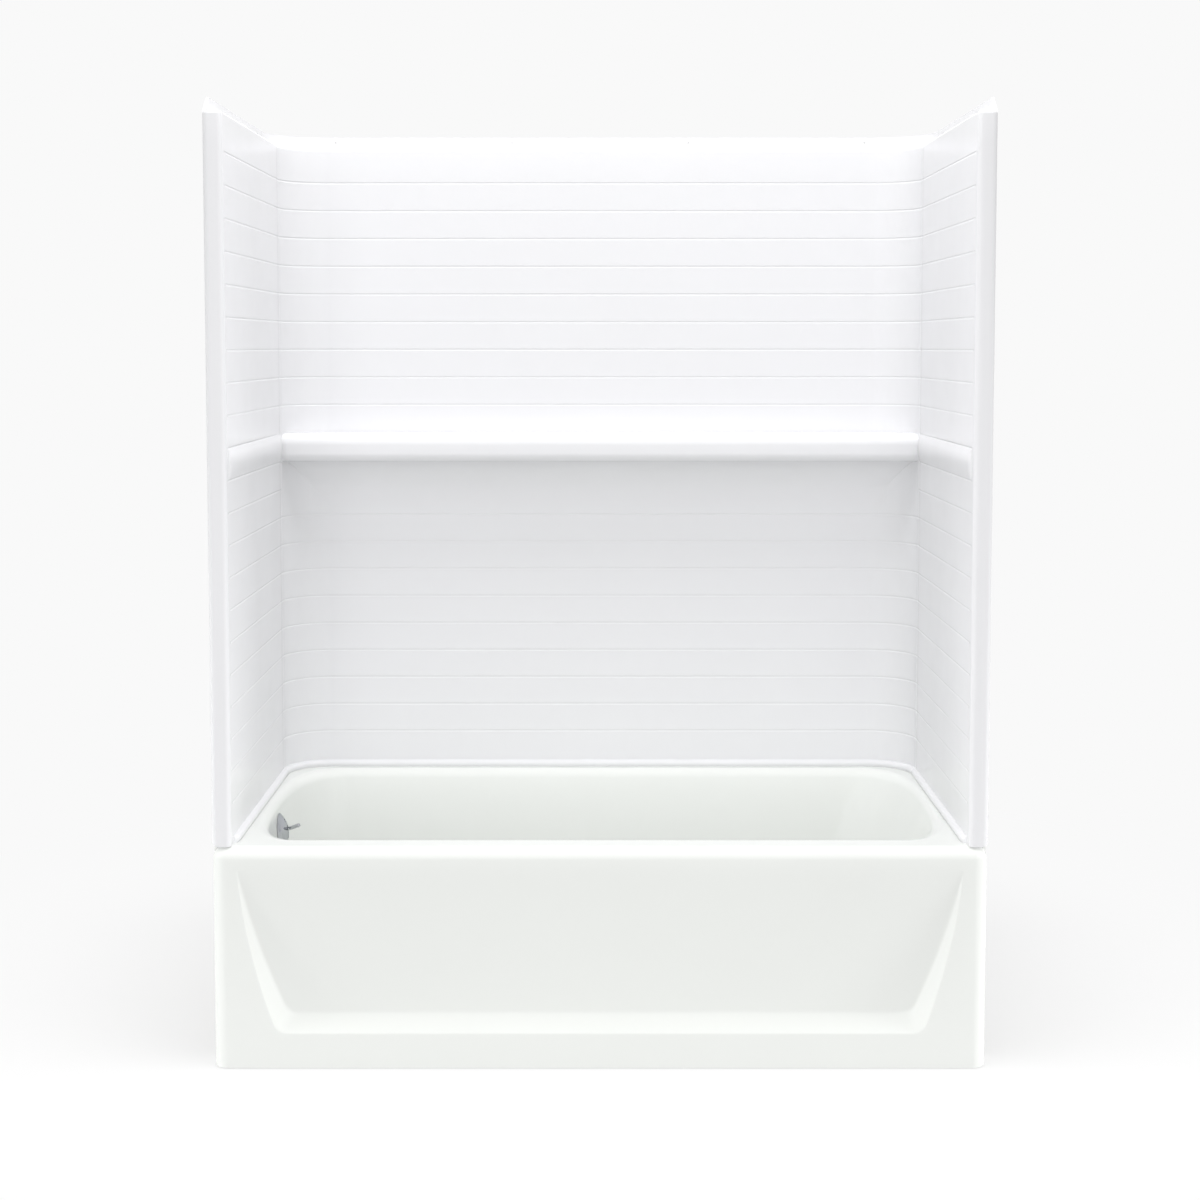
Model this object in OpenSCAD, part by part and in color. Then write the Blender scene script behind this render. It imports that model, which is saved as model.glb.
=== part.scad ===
// Alcove bath with a three-piece wall surround and a trip-lever waste.
// Origin: floor level, middle of the footprint. X runs along the bath, drain end at -X.
// The apron faces -Y, the back wall stands at +Y and Z points up.

/* [Bath] */
// Length of the bath, outside of the tile flanges
bath_l = 1524; // [1400:1:1700]
// Depth from the apron to the back of the tile flange
bath_d = 813; // [750:1:900]
// Height of the deck above the floor
rim_h = 440; // [400:1:500]
// Thickness of the moulded shell
shell_t = 5; // [4:0.5:6]
// Radius of the rolled front edge
nose_r = 24; // [16:1:28]
// Plan radius of the two front corners
corner_r = 29; // [29:1:40]
// Width of the deck at the front and at the back
deck_w = 62; // [58:1:75]
// Width of the deck at the two ends, measured on the long centre line
end_deck_w = 45; // [42:1:55]
// Length of the apron's returns along the end walls
return_l = 45; // [30:1:60]
// Height of the tile flange above the deck
tile_flange_h = 46; // [30:1:55]
// Length over which the tile flange fades out at the front
flange_fade = 60; // [30:1:80]
// Radius of the cove between deck and tile flange
flange_cove = 8; // [4:1:10]

/* [Basin] */
// Height of the basin floor at the drain
floor_h = 83; // [78:0.5:95]
// Slope of the basin floor towards the drain, in degrees
floor_fall = 0.6; // [0.3:0.1:1]
// Radius of the rolled edge round the opening
roll_r = 22; // [14:1:26]
// Lean of the drain end wall, in degrees from upright
drain_lean = 5; // [3:0.5:8]
// Lean of the backrest
rest_lean = 23; // [16:1:28]
// Lean of the two long walls
side_lean = 8; // [5:1:12]
// Radius between the floor and the drain end wall
drain_fillet = 60; // [45:1:70]
// Radius between the floor and the backrest
rest_fillet = 130; // [90:5:160]
// Radius between the floor and the long walls
side_fillet = 75; // [50:5:90]
// Length of the curved ends at the rim
end_curve_rim = 114; // [90:1:150]
// Length of the curved ends at the floor
end_curve_floor = 135; // [110:1:160]
// Squareness of the curved ends: 2 is an ellipse, more is squarer
end_power = 2.6; // [2.2:0.1:3]

/* [Apron] */
// Distance from each end to the top corners of the recess
recess_side = 50; // [45:1:80]
// Height of the top of the recess, where it starts flush with the face
recess_top = 395; // [350:1:400]
// Distance from each end to the lower corners of the recess
recess_foot_side = 118; // [105:1:150]
// Height of the lower edge of the recess
recess_foot = 70; // [60:1:100]
// Depth of the recess at its foot
recess_depth = 26; // [15:1:30]
// Width of the slanting ledge along the foot of the recess
ledge_w = 33; // [20:1:40]
// Width of the slanting ledge at the sides, near the foot
side_ledge_w = 30; // [16:1:36]
// Radius of the lower corners of the recess
recess_r = 32; // [28:1:60]
// How far the sides of the recess bow outwards halfway down
recess_bow = 12; // [0:1:14]
// Height of the timber rail behind the foot of the apron
rail_h = 40; // [30:1:50]
// Thickness of the timber rail
rail_t = 38; // [25:1:45]

/* [Base] */
// Thickness of the board below the basin floor
board_t = 15; // [12:1:18]
// Length of the board
board_l = 800; // [700:1:840]
// Width of the board
board_w = 340; // [300:1:350]
// Length and width of a foot
foot_size = 80; // [60:1:100]
// Radius of a foot screw
foot_screw_r = 2.5; // [2:0.25:3]

/* [Walls] */
// Height of the walls from the deck to the top of their flange
wall_h = 1460; // [1300:1:1600]
// Height of the nailing flange above the walls' shoulder
top_flange_h = 30; // [20:1:40]
// Distance from a front strip's face to where the end walls' flange reaches its full height
flange_run = 50; // [40:1:70]
// Thickness of the moulded wall panels
wall_t = 5; // [4:0.5:6]
// Distance from the studs to the face of the wall panels
face_offset = 38; // [34:1:40]
// Plan radius of the two curved corners
wall_corner_r = 100; // [80:1:120]
// How far the front strips stand back from the apron
wall_setback = 8; // [6:1:14]
// Radius of the outer edge of the front strips
strip_edge_r = 11; // [8:1:14]
// Radius of the inner edge of the front strips
strip_inner_r = 10; // [8:1:14]
// Height of the lowest groove above the deck
groove_first = 83; // [60:0.5:100]
// Distance from one groove to the next
groove_pitch = 63.5; // [50:0.5:80]
// Width of a groove
groove_w = 6; // [3:0.5:8]
// Depth of a groove
groove_depth = 1.8; // [1:0.1:2.5]
// Course, counted from the deck, that holds the shelf
shelf_course = 10; // [8:1:12]
// Depth of the shelf from the back wall's face
shelf_d = 96; // [70:1:100]
// Radius of the shelf's front edge
shelf_nose_r = 26; // [15:1:30]
// Radius of the lower edge of the shelf's front
shelf_lip_r = 9; // [7:1:14]
// Height of the cove below the shelf
shelf_cove_h = 112; // [80:1:120]
// How far the band on the end walls stands out
band_d = 5; // [4:1:12]
// Height over which the top of that band rounds off
band_fade = 17; // [10:1:24]
// Width of the bead along the foot of the walls
bead_w = 11; // [8:1:12]
// Height of the bead along the foot of the walls
bead_h = 15; // [12:1:20]
// Depth of the upright flanges where two wall panels meet
seam_flange = 24; // [15:1:26]
// Thickness of the upright stiffening ribs behind the panels
rib_t = 4; // [3:0.5:6]

/* [Fastening] */
// Distance between wall studs
stud_pitch = 406.4; // [400:0.1:410]
// Distance from each end to the outer screws in the back flanges
end_stud = 152.4; // [145:0.1:160]
// Radius of the screw holes in the nailing flanges
flange_hole_r = 2.5; // [2:0.25:3]

/* [Waste] */
// Distance from the drain end of the bath to the middle of the drain
drain_from_end = 217; // [210:1:240]
// Radius of the drain hole
drain_hole_r = 26; // [25:0.5:28]
// Outer radius of the waste and overflow tubes
tube_r = 19.05; // [18:0.05:20]
// Wall of the waste and overflow tubes
tube_wall = 1.45; // [1:0.05:2]
// Radial play of a tube in its socket
socket_play = 0.1; // [0.05:0.01:0.2]
// Wall of the cast fittings
cast_t = 3; // [2.5:0.1:3.5]
// Height of the waste tube's axis
waste_h = 46; // [45:0.5:47]
// Outer radius of a slip nut
nut_r = 27; // [26:0.5:28]
// Height of a slip nut
nut_h = 14; // [12:1:16]
// Depth of a slip socket
socket_d = 18; // [16:1:20]

/* [Overflow] */
// Distance from the deck down to the middle of the overflow
overflow_drop = 68; // [64:1:90]
// Radius of the overflow plate
plate_r = 41; // [38:0.5:42]
// Height of the overflow plate's dome
plate_dome = 18; // [14:0.5:22]
// Thickness of the overflow plate
plate_t = 1.6; // [1.2:0.1:2]
// Radius of the overflow hole in the basin wall
overflow_hole_r = 28; // [27:0.5:29]
// Distance from the middle of the plate to each screw
plate_screw_d = 24; // [23:0.5:25]
// Length of the lever's handle from its pivot
handle_l = 52; // [50:1:65]
// Length of the lever's inner arm from its pivot
arm_l = 37; // [35:1:38]
// Half of the lever's swing, in degrees
lever_half = 18; // [15:1:20]
// Radius of the lever's pivot pin
pivot_r = 2; // [1.5:0.1:2.5]
// Radial play of the lever on its pivot pin
pivot_play = 0.05; // [0.02:0.01:0.1]
// Radius of the pin that carries the linkage
link_pin_r = 1.5; // [1.2:0.1:1.8]
// Radius of the linkage rod
rod_r = 1.8; // [1.5:0.1:2.2]
// Length of the plunger
plunger_l = 42; // [40:1:44]
// Radial play of the plunger in the tee
plunger_play = 0.4; // [0.35:0.05:0.6]

/* [Hidden] */
$fn = 72;

// Half sizes of the footprint
half_l = bath_l / 2;
half_d = bath_d / 2;
// Overlap that makes a cut clean, and a small gap between pieces that are not fitted
eps = 1;
gap = 0.3;
// Play of a pin that is pressed or glued into its hole
pin_play = 0.02;

// Basin opening at the rim
open_l = half_l - end_deck_w;
open_d = half_d - deck_w;
drain_x = drain_from_end - half_l;
overflow_h = rim_h - overflow_drop;
fall = tan(floor_fall);

// Steps of the basin's wall from rim to floor: rolled edge, straight wall, floor fillet
roll_steps = 5;
wall_steps = 3;
fillet_steps = 7;
basin_rows = roll_steps + wall_steps + fillet_steps;
// Points round one curved end, and along one straight side
end_points = 26;
side_points = 4;

// Point [inset, height] of a basin wall that leans by lean and meets the floor with radius r
function roll_end(lean) = [
    roll_r * sin(90 - lean),
    rim_h - roll_r * (1 - cos(90 - lean))
];
function wall_end(lean, r) =
    let (top = roll_end(lean), z = floor_h + r * (1 - sin(lean)))
    [top[0] + (top[1] - z) * tan(lean), z];
function wall_point(row, lean, r) =
    let (top = roll_end(lean), low = wall_end(lean, r))
    row <= roll_steps
    ? let (a = (90 - lean) * row / roll_steps)
      [roll_r * sin(a), rim_h - roll_r * (1 - cos(a))]
    : row <= roll_steps + wall_steps
    ? top + (low - top) * (row - roll_steps) / wall_steps
    : let (a = lean + (90 - lean) * (row - roll_steps - wall_steps) / fillet_steps)
      [low[0] + r * (cos(lean) - cos(a)), floor_h + r * (1 - sin(a))];

// One ring of the basin: a curved drain end, a straight side, the backrest end, a straight side
function power(v, p) = sign(v) * pow(abs(v), p);
function ring_point(row, end, a, end_l) =
    let (
        e = end < 0 ? wall_point(row, drain_lean, drain_fillet) : wall_point(row, rest_lean, rest_fillet),
        s = wall_point(row, side_lean, side_fillet),
        share = pow(cos(a), 2),
        x = end * (open_l - e[0] - end_l + end_l * power(cos(a), 2 / end_power)),
        y = (open_d - s[0]) * power(sin(a), 2 / end_power),
        z = e[1] * share + s[1] * (1 - share),
        low = (rim_h - z) / (rim_h - floor_h)
    )
    [x, y, z + fall * (x - drain_x) * pow(low, 4)];
function ring(row) =
    let (
        end_l = end_curve_rim + (end_curve_floor - end_curve_rim) * row / basin_rows,
        right = [for (i = [0:end_points]) ring_point(row, 1, -90 + 180 * i / end_points, end_l)],
        left = [for (i = [0:end_points]) ring_point(row, -1, 90 - 180 * i / end_points, end_l)]
    )
    concat(
        right,
        [for (i = [1:side_points - 1]) right[end_points] + (left[0] - right[end_points]) * i / side_points],
        left,
        [for (i = [1:side_points - 1]) left[end_points] + (right[0] - left[end_points]) * i / side_points]
    );

function unit(v) = v / norm(v);
// Surface direction at a point of the basin, pointing into the basin
function basin_normal(rows, j, i) =
    let (
        n = len(rows[0]),
        around = rows[j][(i + 1) % n] - rows[j][(i + n - 1) % n],
        down = rows[j + 1][i] - rows[j - 1][i]
    )
    unit(cross(around, down));
function grid_faces(first, rows, n, flip) = [
    for (j = [0:rows - 2]) for (i = [0:n - 1])
    let (
        a = first + j * n + i,
        b = first + j * n + (i + 1) % n,
        c = b + n,
        d = a + n
    )
    each flip ? [[a, c, b], [a, d, c]] : [[a, b, c], [a, c, d]]
];

module basin() {
    rows = [for (j = [0:basin_rows]) ring(j)];
    n = len(rows[0]);
    floor_up = unit([-fall, 0, 1]);
    under = [
        for (j = [0:basin_rows])
        [for (i = [0:n - 1]) rows[j][i] - shell_t * (
            j == 0 ? [0, 0, 1] : j == basin_rows ? floor_up : basin_normal(rows, j, i))]
    ];
    count = n * (basin_rows + 1);
    points = concat([for (r = rows) each r], [for (r = under) each r]);
    faces = concat(
        grid_faces(0, basin_rows + 1, n, true),
        grid_faces(count, basin_rows + 1, n, false),
        [for (i = [0:n - 1]) each [
            [i, count + (i + 1) % n, count + i],
            [i, (i + 1) % n, count + (i + 1) % n]
        ]],
        [[for (i = [n - 1:-1:0]) n * basin_rows + i]],
        [[for (i = [0:n - 1]) count + n * basin_rows + i]]
    );
    polyhedron(points, faces);
}

// Outline [outward, height] of the rolled front edge and the apron below it, as a bent sheet
edge_steps = 12;
apron_lip = 14;
function edge_arc(r, from, to) = [
    for (i = [0:edge_steps])
    let (a = from + (to - from) * i / edge_steps)
    [corner_r - nose_r + r * cos(a), rim_h - nose_r + r * sin(a)]
];
apron_outline = concat(
    [[0, rim_h]],
    edge_arc(nose_r, 90, 0),
    [[corner_r, 0], [corner_r - apron_lip, 0], [corner_r - apron_lip, shell_t], [corner_r - shell_t, shell_t]],
    edge_arc(nose_r - shell_t, 0, 90),
    [[0, rim_h - shell_t]]
);

// Lays an outline [depth, height] along X, and one [length, height] along Y
module along_x(l) {
    translate([-l / 2, 0, 0])
        rotate([90, 0, 90])
            linear_extrude(l)
                children();
}
module along_y(l) {
    rotate([90, 0, 0])
        linear_extrude(l)
            children();
}
module both_ends() {
    children();
    mirror([1, 0, 0]) children();
}

front_y = corner_r - half_d;
return_y = front_y + return_l;
module apron_sheet() {
    translate([0, front_y, 0])
        along_x(bath_l - 2 * corner_r)
            mirror([1, 0])
                polygon(apron_outline);
    both_ends() {
        translate([half_l - corner_r, front_y, 0])
            rotate([0, 0, -90])
                rotate_extrude(angle = 90)
                    polygon(apron_outline);
        translate([half_l - corner_r, return_y, 0])
            along_y(return_l)
                polygon(apron_outline);
    }
}

// The deck between the front edge and the flanges, with the basin's opening
module deck() {
    inner = half_l - corner_r;
    translate([0, 0, rim_h - shell_t])
        linear_extrude(shell_t)
            difference() {
                polygon([
                    [-half_l, half_d], [-half_l, return_y], [-inner, return_y], [-inner, front_y],
                    [inner, front_y], [inner, return_y], [half_l, return_y], [half_l, half_d]
                ]);
                polygon([for (p = ring(0)) [p[0], p[1]]]);
            }
}

flange_top = rim_h + tile_flange_h;
flange_low = rim_h - nose_r;
// Where the fade starts, behind the rolled corner and below the deck
flange_start = front_y + 12;
flange_start_h = rim_h - 6;
cove_steps = 6;
cove_outline = concat(
    [[0, 0]],
    [for (i = [0:cove_steps])
        let (a = 180 + 90 * i / cove_steps)
        [flange_cove + flange_cove * cos(a), flange_cove + flange_cove * sin(a)]]
);
module tile_flange() {
    translate([-half_l, half_d - shell_t, flange_low])
        cube([bath_l, shell_t, flange_top - flange_low]);
    translate([0, half_d - shell_t, rim_h])
        along_x(bath_l - 2 * shell_t)
            mirror([1, 0])
                polygon(cove_outline);
    both_ends() {
        translate([half_l - shell_t, 0, 0])
            rotate([90, 0, 90])
                linear_extrude(shell_t)
                    polygon([
                        [flange_start, flange_low], [flange_start, flange_start_h],
                        [flange_start + flange_fade * 0.3, rim_h + tile_flange_h * 0.28],
                        [flange_start + flange_fade * 0.7, rim_h + tile_flange_h * 0.86],
                        [flange_start + flange_fade, flange_top],
                        [half_d, flange_top], [half_d, flange_low]
                    ]);
        translate([half_l - shell_t, half_d - shell_t, rim_h])
            along_y(half_d - shell_t - return_y)
                mirror([1, 0])
                    polygon(cove_outline);
    }
}

// The panel inside the recess bows a little more than the recess's edge
panel_bow = 1.2 * recess_bow;
// Outline of the apron's recess: grown by out, it gives the back of the sheet.
// Its sides bow outwards by waist halfway down.
module recess_outline(out, foot, side, waist) {
    half_top = half_l - recess_side + out;
    half_foot = half_l - side + out;
    hull() {
        for (s = [-1, 1]) {
            translate([s * (half_foot - recess_r), foot - out + recess_r])
                circle(recess_r, $fn = 32);
            translate([s * ((half_foot + half_top) / 2 + waist - 1), (foot + recess_r + recess_top) / 2])
                square(2, center = true);
            translate([s * (half_top - 1), recess_top - 1])
                square(2, center = true);
        }
    }
}
module recess_form(out) {
    face_y = -half_d;
    tilt = atan(recess_depth / (recess_top - recess_foot - ledge_w));
    hull() {
        translate([0, face_y + 0.01 + out, 0])
            rotate([90, 0, 0])
                linear_extrude(out > 0 ? 1 : 2)
                    recess_outline(out, recess_foot, recess_foot_side, recess_bow);
        translate([0, face_y + out, recess_top])
            rotate([tilt, 0, 0])
                translate([0, 0, -recess_top])
                    rotate([90, 0, 0])
                        linear_extrude(0.02)
                            recess_outline(
                                out, recess_foot + ledge_w, recess_foot_side + side_ledge_w, panel_bow
                            );
    }
}

// Where the plate, the gasket and the lever sit: on the leaning drain end wall
overflow_in = roll_end(drain_lean)[0] + (roll_end(drain_lean)[1] - overflow_h) * tan(drain_lean);
overflow_x = overflow_in - open_l;
// Places children in the overflow's own frame: +X into the basin, square to the wall
module at_overflow() {
    translate([overflow_x, 0, overflow_h])
        rotate([0, -drain_lean, 0])
            children();
}
module rod_x(r, x0, x1) {
    translate([x0, 0, 0])
        rotate([0, 90, 0])
            cylinder(r = r, h = x1 - x0);
}
module rod_y(r, l) {
    rotate([90, 0, 0])
        cylinder(r = r, h = l, center = true);
}

// Flat seat of the drain flange in the basin floor
drain_seat_r = 40;
drain_seat_drop = 3;
drain_seat_h = floor_h - drain_seat_drop;
drain_under = drain_seat_h - shell_t;

// Screw holes in the flanges, on the studs
back_hole_x = [end_stud - half_l, -stud_pitch / 2, stud_pitch / 2, half_l - end_stud];
side_hole_y = [-0.5, 0.5] * stud_pitch;
hole_inset = 12;
module flange_holes(z) {
    for (x = back_hole_x)
        translate([x, half_d, z])
            rod_y(flange_hole_r, 4 * shell_t);
    both_ends()
        for (y = side_hole_y)
            translate([0, y, z])
                rod_x(flange_hole_r, half_l - 2 * shell_t, half_l + 2 * shell_t);
}

module tub_shell() {
    color("white")
        difference() {
            union() {
                basin();
                deck();
                apron_sheet();
                tile_flange();
                recess_form(shell_t);
                translate([drain_x, 0, drain_under])
                    cylinder(r = drain_seat_r + shell_t, h = floor_h - drain_under - 1);
            }
            recess_form(0);
            translate([drain_x, 0, drain_seat_h])
                cylinder(r = drain_seat_r, h = 20);
            translate([drain_x, 0, 0])
                cylinder(r = drain_hole_r, h = rim_h / 2);
            at_overflow()
                rod_x(overflow_hole_r, -4 * shell_t, 4 * shell_t);
            flange_holes(flange_top - hole_inset);
        }
}

module apron_rail() {
    l = bath_l - 2 * (corner_r + shell_t);
    color("burlywood")
        translate([-l / 2, shell_t - half_d, shell_t])
            cube([l, rail_t, rail_h]);
}

// Height of the underside of the basin floor at x
function under_floor(x) = floor_h + fall * (x - drain_x) - shell_t * sqrt(1 + fall * fall);
board_x = [-board_l / 2, board_l / 2];
module base_board() {
    color("tan")
        difference() {
            translate([0, board_w / 2, 0])
                along_y(board_w)
                    polygon([
                        [board_x[0], under_floor(board_x[0])],
                        [board_x[1], under_floor(board_x[1])],
                        [board_x[1], under_floor(board_x[1]) - board_t],
                        [board_x[0], under_floor(board_x[0]) - board_t]
                    ]);
            for (x = foot_x)
                for (y = foot_y)
                    translate([x, y, 0])
                        cylinder(r = foot_screw_r, h = foot_screw_top(x));
        }
}

// Six feet in two rows
foot_x = [-1, 0, 1] * (board_l - foot_size) / 2;
foot_y = [-1, 1] * (board_w - foot_size) / 2;
foot_recess = 12;
foot_screw_cover = 4;
function foot_top(x) = under_floor(x) - board_t;
function foot_screw_top(x) = under_floor(x) - foot_screw_cover;
module base_feet() {
    color("dimgray")
        difference() {
            for (x = foot_x)
                for (y = foot_y)
                    translate([0, y + foot_size / 2, 0])
                        along_y(foot_size)
                            polygon([
                                [x - foot_size / 2, 0], [x + foot_size / 2, 0],
                                [x + foot_size / 2, foot_top(x + foot_size / 2)],
                                [x - foot_size / 2, foot_top(x - foot_size / 2)]
                            ]);
            for (x = foot_x)
                for (y = foot_y)
                    translate([x, y, -eps]) {
                        cylinder(r = 3 * foot_screw_r, h = foot_recess + eps);
                        cylinder(r = foot_screw_r, h = rim_h / 2);
                    }
        }
}
module foot_screws() {
    color("silver")
        for (x = foot_x)
            for (y = foot_y)
                translate([x, y, foot_recess - foot_screw_r]) {
                    cylinder(r = 2 * foot_screw_r, h = foot_screw_r);
                    cylinder(r = foot_screw_r, h = foot_screw_top(x) - foot_recess);
                }
}

// Upright section of a wall panel: u runs from the studs into the room, z up from the deck
shoulder_z = wall_h - top_flange_h;
panel_back = face_offset - wall_t;
groove_margin = 20;
last_groove = floor((shoulder_z - groove_margin - groove_first) / groove_pitch);
function groove_z(n) = groove_first + n * groove_pitch;
function groove(n) = [
    [face_offset, groove_z(n) - groove_w / 2],
    [face_offset - groove_depth, groove_z(n)],
    [face_offset, groove_z(n) + groove_w / 2]
];
function grooves(from, to) = [for (n = [from:1:to]) each groove(n)];
bead_steps = 8;
bead_mid = 0.4 * bead_h;
bead_undercut = 2;
bead_outline = concat(
    [[face_offset + bead_w - bead_undercut, 0]],
    [for (i = [0:bead_steps])
        let (a = -20 + 110 * i / bead_steps)
        [face_offset + bead_w * cos(a), bead_mid + (bead_h - bead_mid) * sin(a)]]
);
shelf_low = groove_z(shelf_course);
shelf_top = groove_z(shelf_course + 1);
shoulder_r = 6;
shoulder_arc = [
    for (i = [0:6])
    let (a = 90 * i / 6)
    [face_offset - shoulder_r + shoulder_r * cos(a), shoulder_z - shoulder_r + shoulder_r * sin(a)]
];
shoulder_back = [[0, shoulder_z - wall_t], [panel_back, shoulder_z - wall_t]];
plain_section = concat(
    [[panel_back, 0]],
    bead_outline,
    grooves(0, shelf_course - 2),
    grooves(shelf_course + 2, last_groove),
    shoulder_arc,
    [[wall_t, shoulder_z], [wall_t, wall_h], [0, wall_h]],
    shoulder_back
);
// The end walls' section, with the band; their flange is a form of its own, slanted at the front
band_chamfer = 2;
band_steps = 5;
// The relief behind the band is shallower than the band, so that its sheet laps onto the strip's
band_relief = band_d - eps;
band_section = concat(
    [[panel_back, 0]],
    bead_outline,
    grooves(0, shelf_course - 1),
    [[face_offset, shelf_low], [face_offset + band_d, shelf_low + band_chamfer]],
    [for (i = [0:band_steps])
        let (a = 90 * i / band_steps)
        [face_offset + band_d * cos(a), shelf_top - band_fade * (1 - sin(a))]],
    grooves(shelf_course + 2, last_groove),
    shoulder_arc,
    [[0, shoulder_z]],
    shoulder_back,
    [[panel_back, shelf_top - wall_t], [panel_back + band_relief, shelf_top - wall_t - band_fade],
        [panel_back + band_relief, shelf_low + wall_t + band_chamfer], [panel_back, shelf_low + wall_t]]
);

// Shelf on the back wall, and the hollow behind it
shelf_u = face_offset + shelf_d;
shelf_steps = 10;
function shelf_arc(r) = [
    for (i = [0:shelf_steps])
    let (a = 90 - 90 * i / shelf_steps)
    [shelf_u - shelf_nose_r + r * cos(a), shelf_top - shelf_nose_r + r * sin(a)]
];
function lip_arc(r) = [
    for (i = [0:shelf_steps])
    let (a = -90 * i / shelf_steps)
    [shelf_u - shelf_lip_r + r * cos(a), shelf_low + shelf_lip_r + r * sin(a)]
];
function cove_arc(out) = [
    for (i = [1:shelf_steps])
    let (a = 90 - 90 * i / shelf_steps)
    [shelf_u - shelf_lip_r - (shelf_d - shelf_lip_r + out) * cos(a),
        shelf_low - shelf_cove_h + (shelf_cove_h + out) * sin(a)]
];
shelf_outline = concat(
    [[panel_back + eps, shelf_top]],
    shelf_arc(shelf_nose_r),
    lip_arc(shelf_lip_r),
    cove_arc(0),
    [[panel_back + eps, shelf_low - shelf_cove_h]]
);
hollow_outline = concat(
    [[-eps, shelf_top - wall_t]],
    shelf_arc(shelf_nose_r - wall_t),
    lip_arc(shelf_lip_r - wall_t),
    cove_arc(wall_t),
    [[-eps, shelf_low - shelf_cove_h]]
);

wall_face_y = half_d - face_offset;
wall_face_x = half_l - face_offset;
seam_y = wall_face_y - wall_corner_r;
straight_half = wall_face_x - wall_corner_r;
strip_y = wall_setback - half_d;
rib_rise = 20;
rib_low = tile_flange_h + rib_rise;
// Clearance between the walls' flanges and the bath's tile flange
flange_gap = 3;
tongue_w = 2;
tongue_play = 0.2;
tongue_at = (shell_t + flange_gap + panel_back) / 2;

// Room outline of the surround in plan, grown by out, as deep as the shelf needs
room_depth = 300;
module room_plan(out) {
    translate([0, wall_face_y + out - room_depth]) {
        translate([-straight_half, 0])
            square([2 * straight_half, room_depth]);
        translate([-wall_face_x - out, 0])
            square([2 * (wall_face_x + out), room_depth - wall_corner_r - out]);
    }
    for (s = [-1, 1])
        translate([s * straight_half, seam_y])
            circle(wall_corner_r + out);
}
module seam_tongue(play) {
    translate([half_l - tongue_at - tongue_w / 2 - play, seam_y - tongue_w - play, rib_low])
        cube([tongue_w + 2 * play, tongue_w + play + eps, shoulder_z - wall_t - rib_low]);
}
seam_low = 20;
module seam_plate(y) {
    translate([half_l - panel_back - eps, y, seam_low])
        cube([min(seam_flange, panel_back - shell_t - flange_gap) + eps, wall_t, shoulder_z - seam_low - eps]);
}

module back_wall() {
    color("white")
        translate([0, 0, rim_h])
            difference() {
                union() {
                    translate([0, half_d, 0])
                        along_x(2 * straight_half)
                            mirror([1, 0])
                                polygon(plain_section);
                    both_ends() {
                        translate([straight_half, seam_y, 0])
                            rotate_extrude(angle = 90)
                                translate([wall_corner_r + face_offset, 0])
                                    mirror([1, 0])
                                        polygon(plain_section);
                        seam_plate(seam_y);
                        seam_tongue(0);
                    }
                    for (x = back_hole_x)
                        translate([x - rib_t / 2, half_d - panel_back - eps, rib_low])
                            cube([rib_t, panel_back + eps, shoulder_z - wall_t - rib_low + eps]);
                    intersection() {
                        translate([0, half_d, 0])
                            along_x(2 * wall_face_x)
                                mirror([1, 0])
                                    polygon(shelf_outline);
                        linear_extrude(shoulder_z)
                            room_plan(wall_t / 2);
                    }
                }
                translate([0, half_d, 0])
                    along_x(2 * (wall_face_x - wall_t))
                        mirror([1, 0])
                            polygon(hollow_outline);
                flange_holes(wall_h - hole_inset);
            }
}

// Plan of the front strip: u from the studs, v back from the strip's face
strip_back = 28;
strip_steps = 6;
module strip_plan(fill) {
    inner = strip_inner_r - wall_t;
    outer = strip_edge_r - wall_t;
    steps = strip_steps;
    outside = concat(
        [[face_offset, strip_back]],
        [for (i = [0:steps])
            let (a = -90 * i / steps)
            [face_offset - strip_inner_r + strip_inner_r * cos(a), strip_inner_r + strip_inner_r * sin(a)]],
        [for (i = [0:steps])
            let (a = -90 - 90 * i / steps)
            [strip_edge_r + strip_edge_r * cos(a), strip_edge_r + strip_edge_r * sin(a)]],
        [[0, strip_back]]
    );
    inside = concat(
        [[wall_t, strip_back]],
        [for (i = [0:steps])
            let (a = -180 + 90 * i / steps)
            [strip_edge_r + outer * cos(a), strip_edge_r + outer * sin(a)]],
        [for (i = [0:steps])
            let (a = -90 + 90 * i / steps)
            [face_offset - strip_inner_r + inner * cos(a), strip_inner_r + inner * sin(a)]],
        [[panel_back, strip_back]]
    );
    polygon(fill ? outside : concat(outside, inside));
}

module end_wall() {
    front = strip_y + strip_edge_r + eps;
    translate([0, 0, rim_h])
        difference() {
            union() {
                translate([half_l, seam_y, 0])
                    along_y(seam_y - strip_y - strip_back)
                        mirror([1, 0])
                            polygon(band_section);
                translate([half_l, strip_y, 0])
                    mirror([1, 0]) {
                        linear_extrude(shoulder_z - wall_t)
                            strip_plan(false);
                        translate([0, 0, shoulder_z - wall_t])
                            linear_extrude(wall_t)
                                strip_plan(true);
                    }
                translate([half_l - wall_t, 0, 0])
                    rotate([90, 0, 90])
                        linear_extrude(wall_t)
                            polygon([
                                [front, shoulder_z - eps], [front, shoulder_z],
                                [strip_y + flange_run, wall_h], [seam_y, wall_h], [seam_y, shoulder_z - eps]
                            ]);
                seam_plate(seam_y - wall_t);
                for (y = side_hole_y)
                    translate([half_l - panel_back - eps, y - rib_t / 2, rib_low])
                        cube([panel_back + eps, rib_t, shoulder_z - wall_t - rib_low + eps]);
            }
            seam_tongue(tongue_play);
            translate([half_l, strip_y - eps, 0])
                rotate([-90, 0, 0])
                    linear_extrude(strip_back + 2 * eps)
                        foot_rounding();
            flange_holes(wall_h - hole_inset);
        }
}
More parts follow.
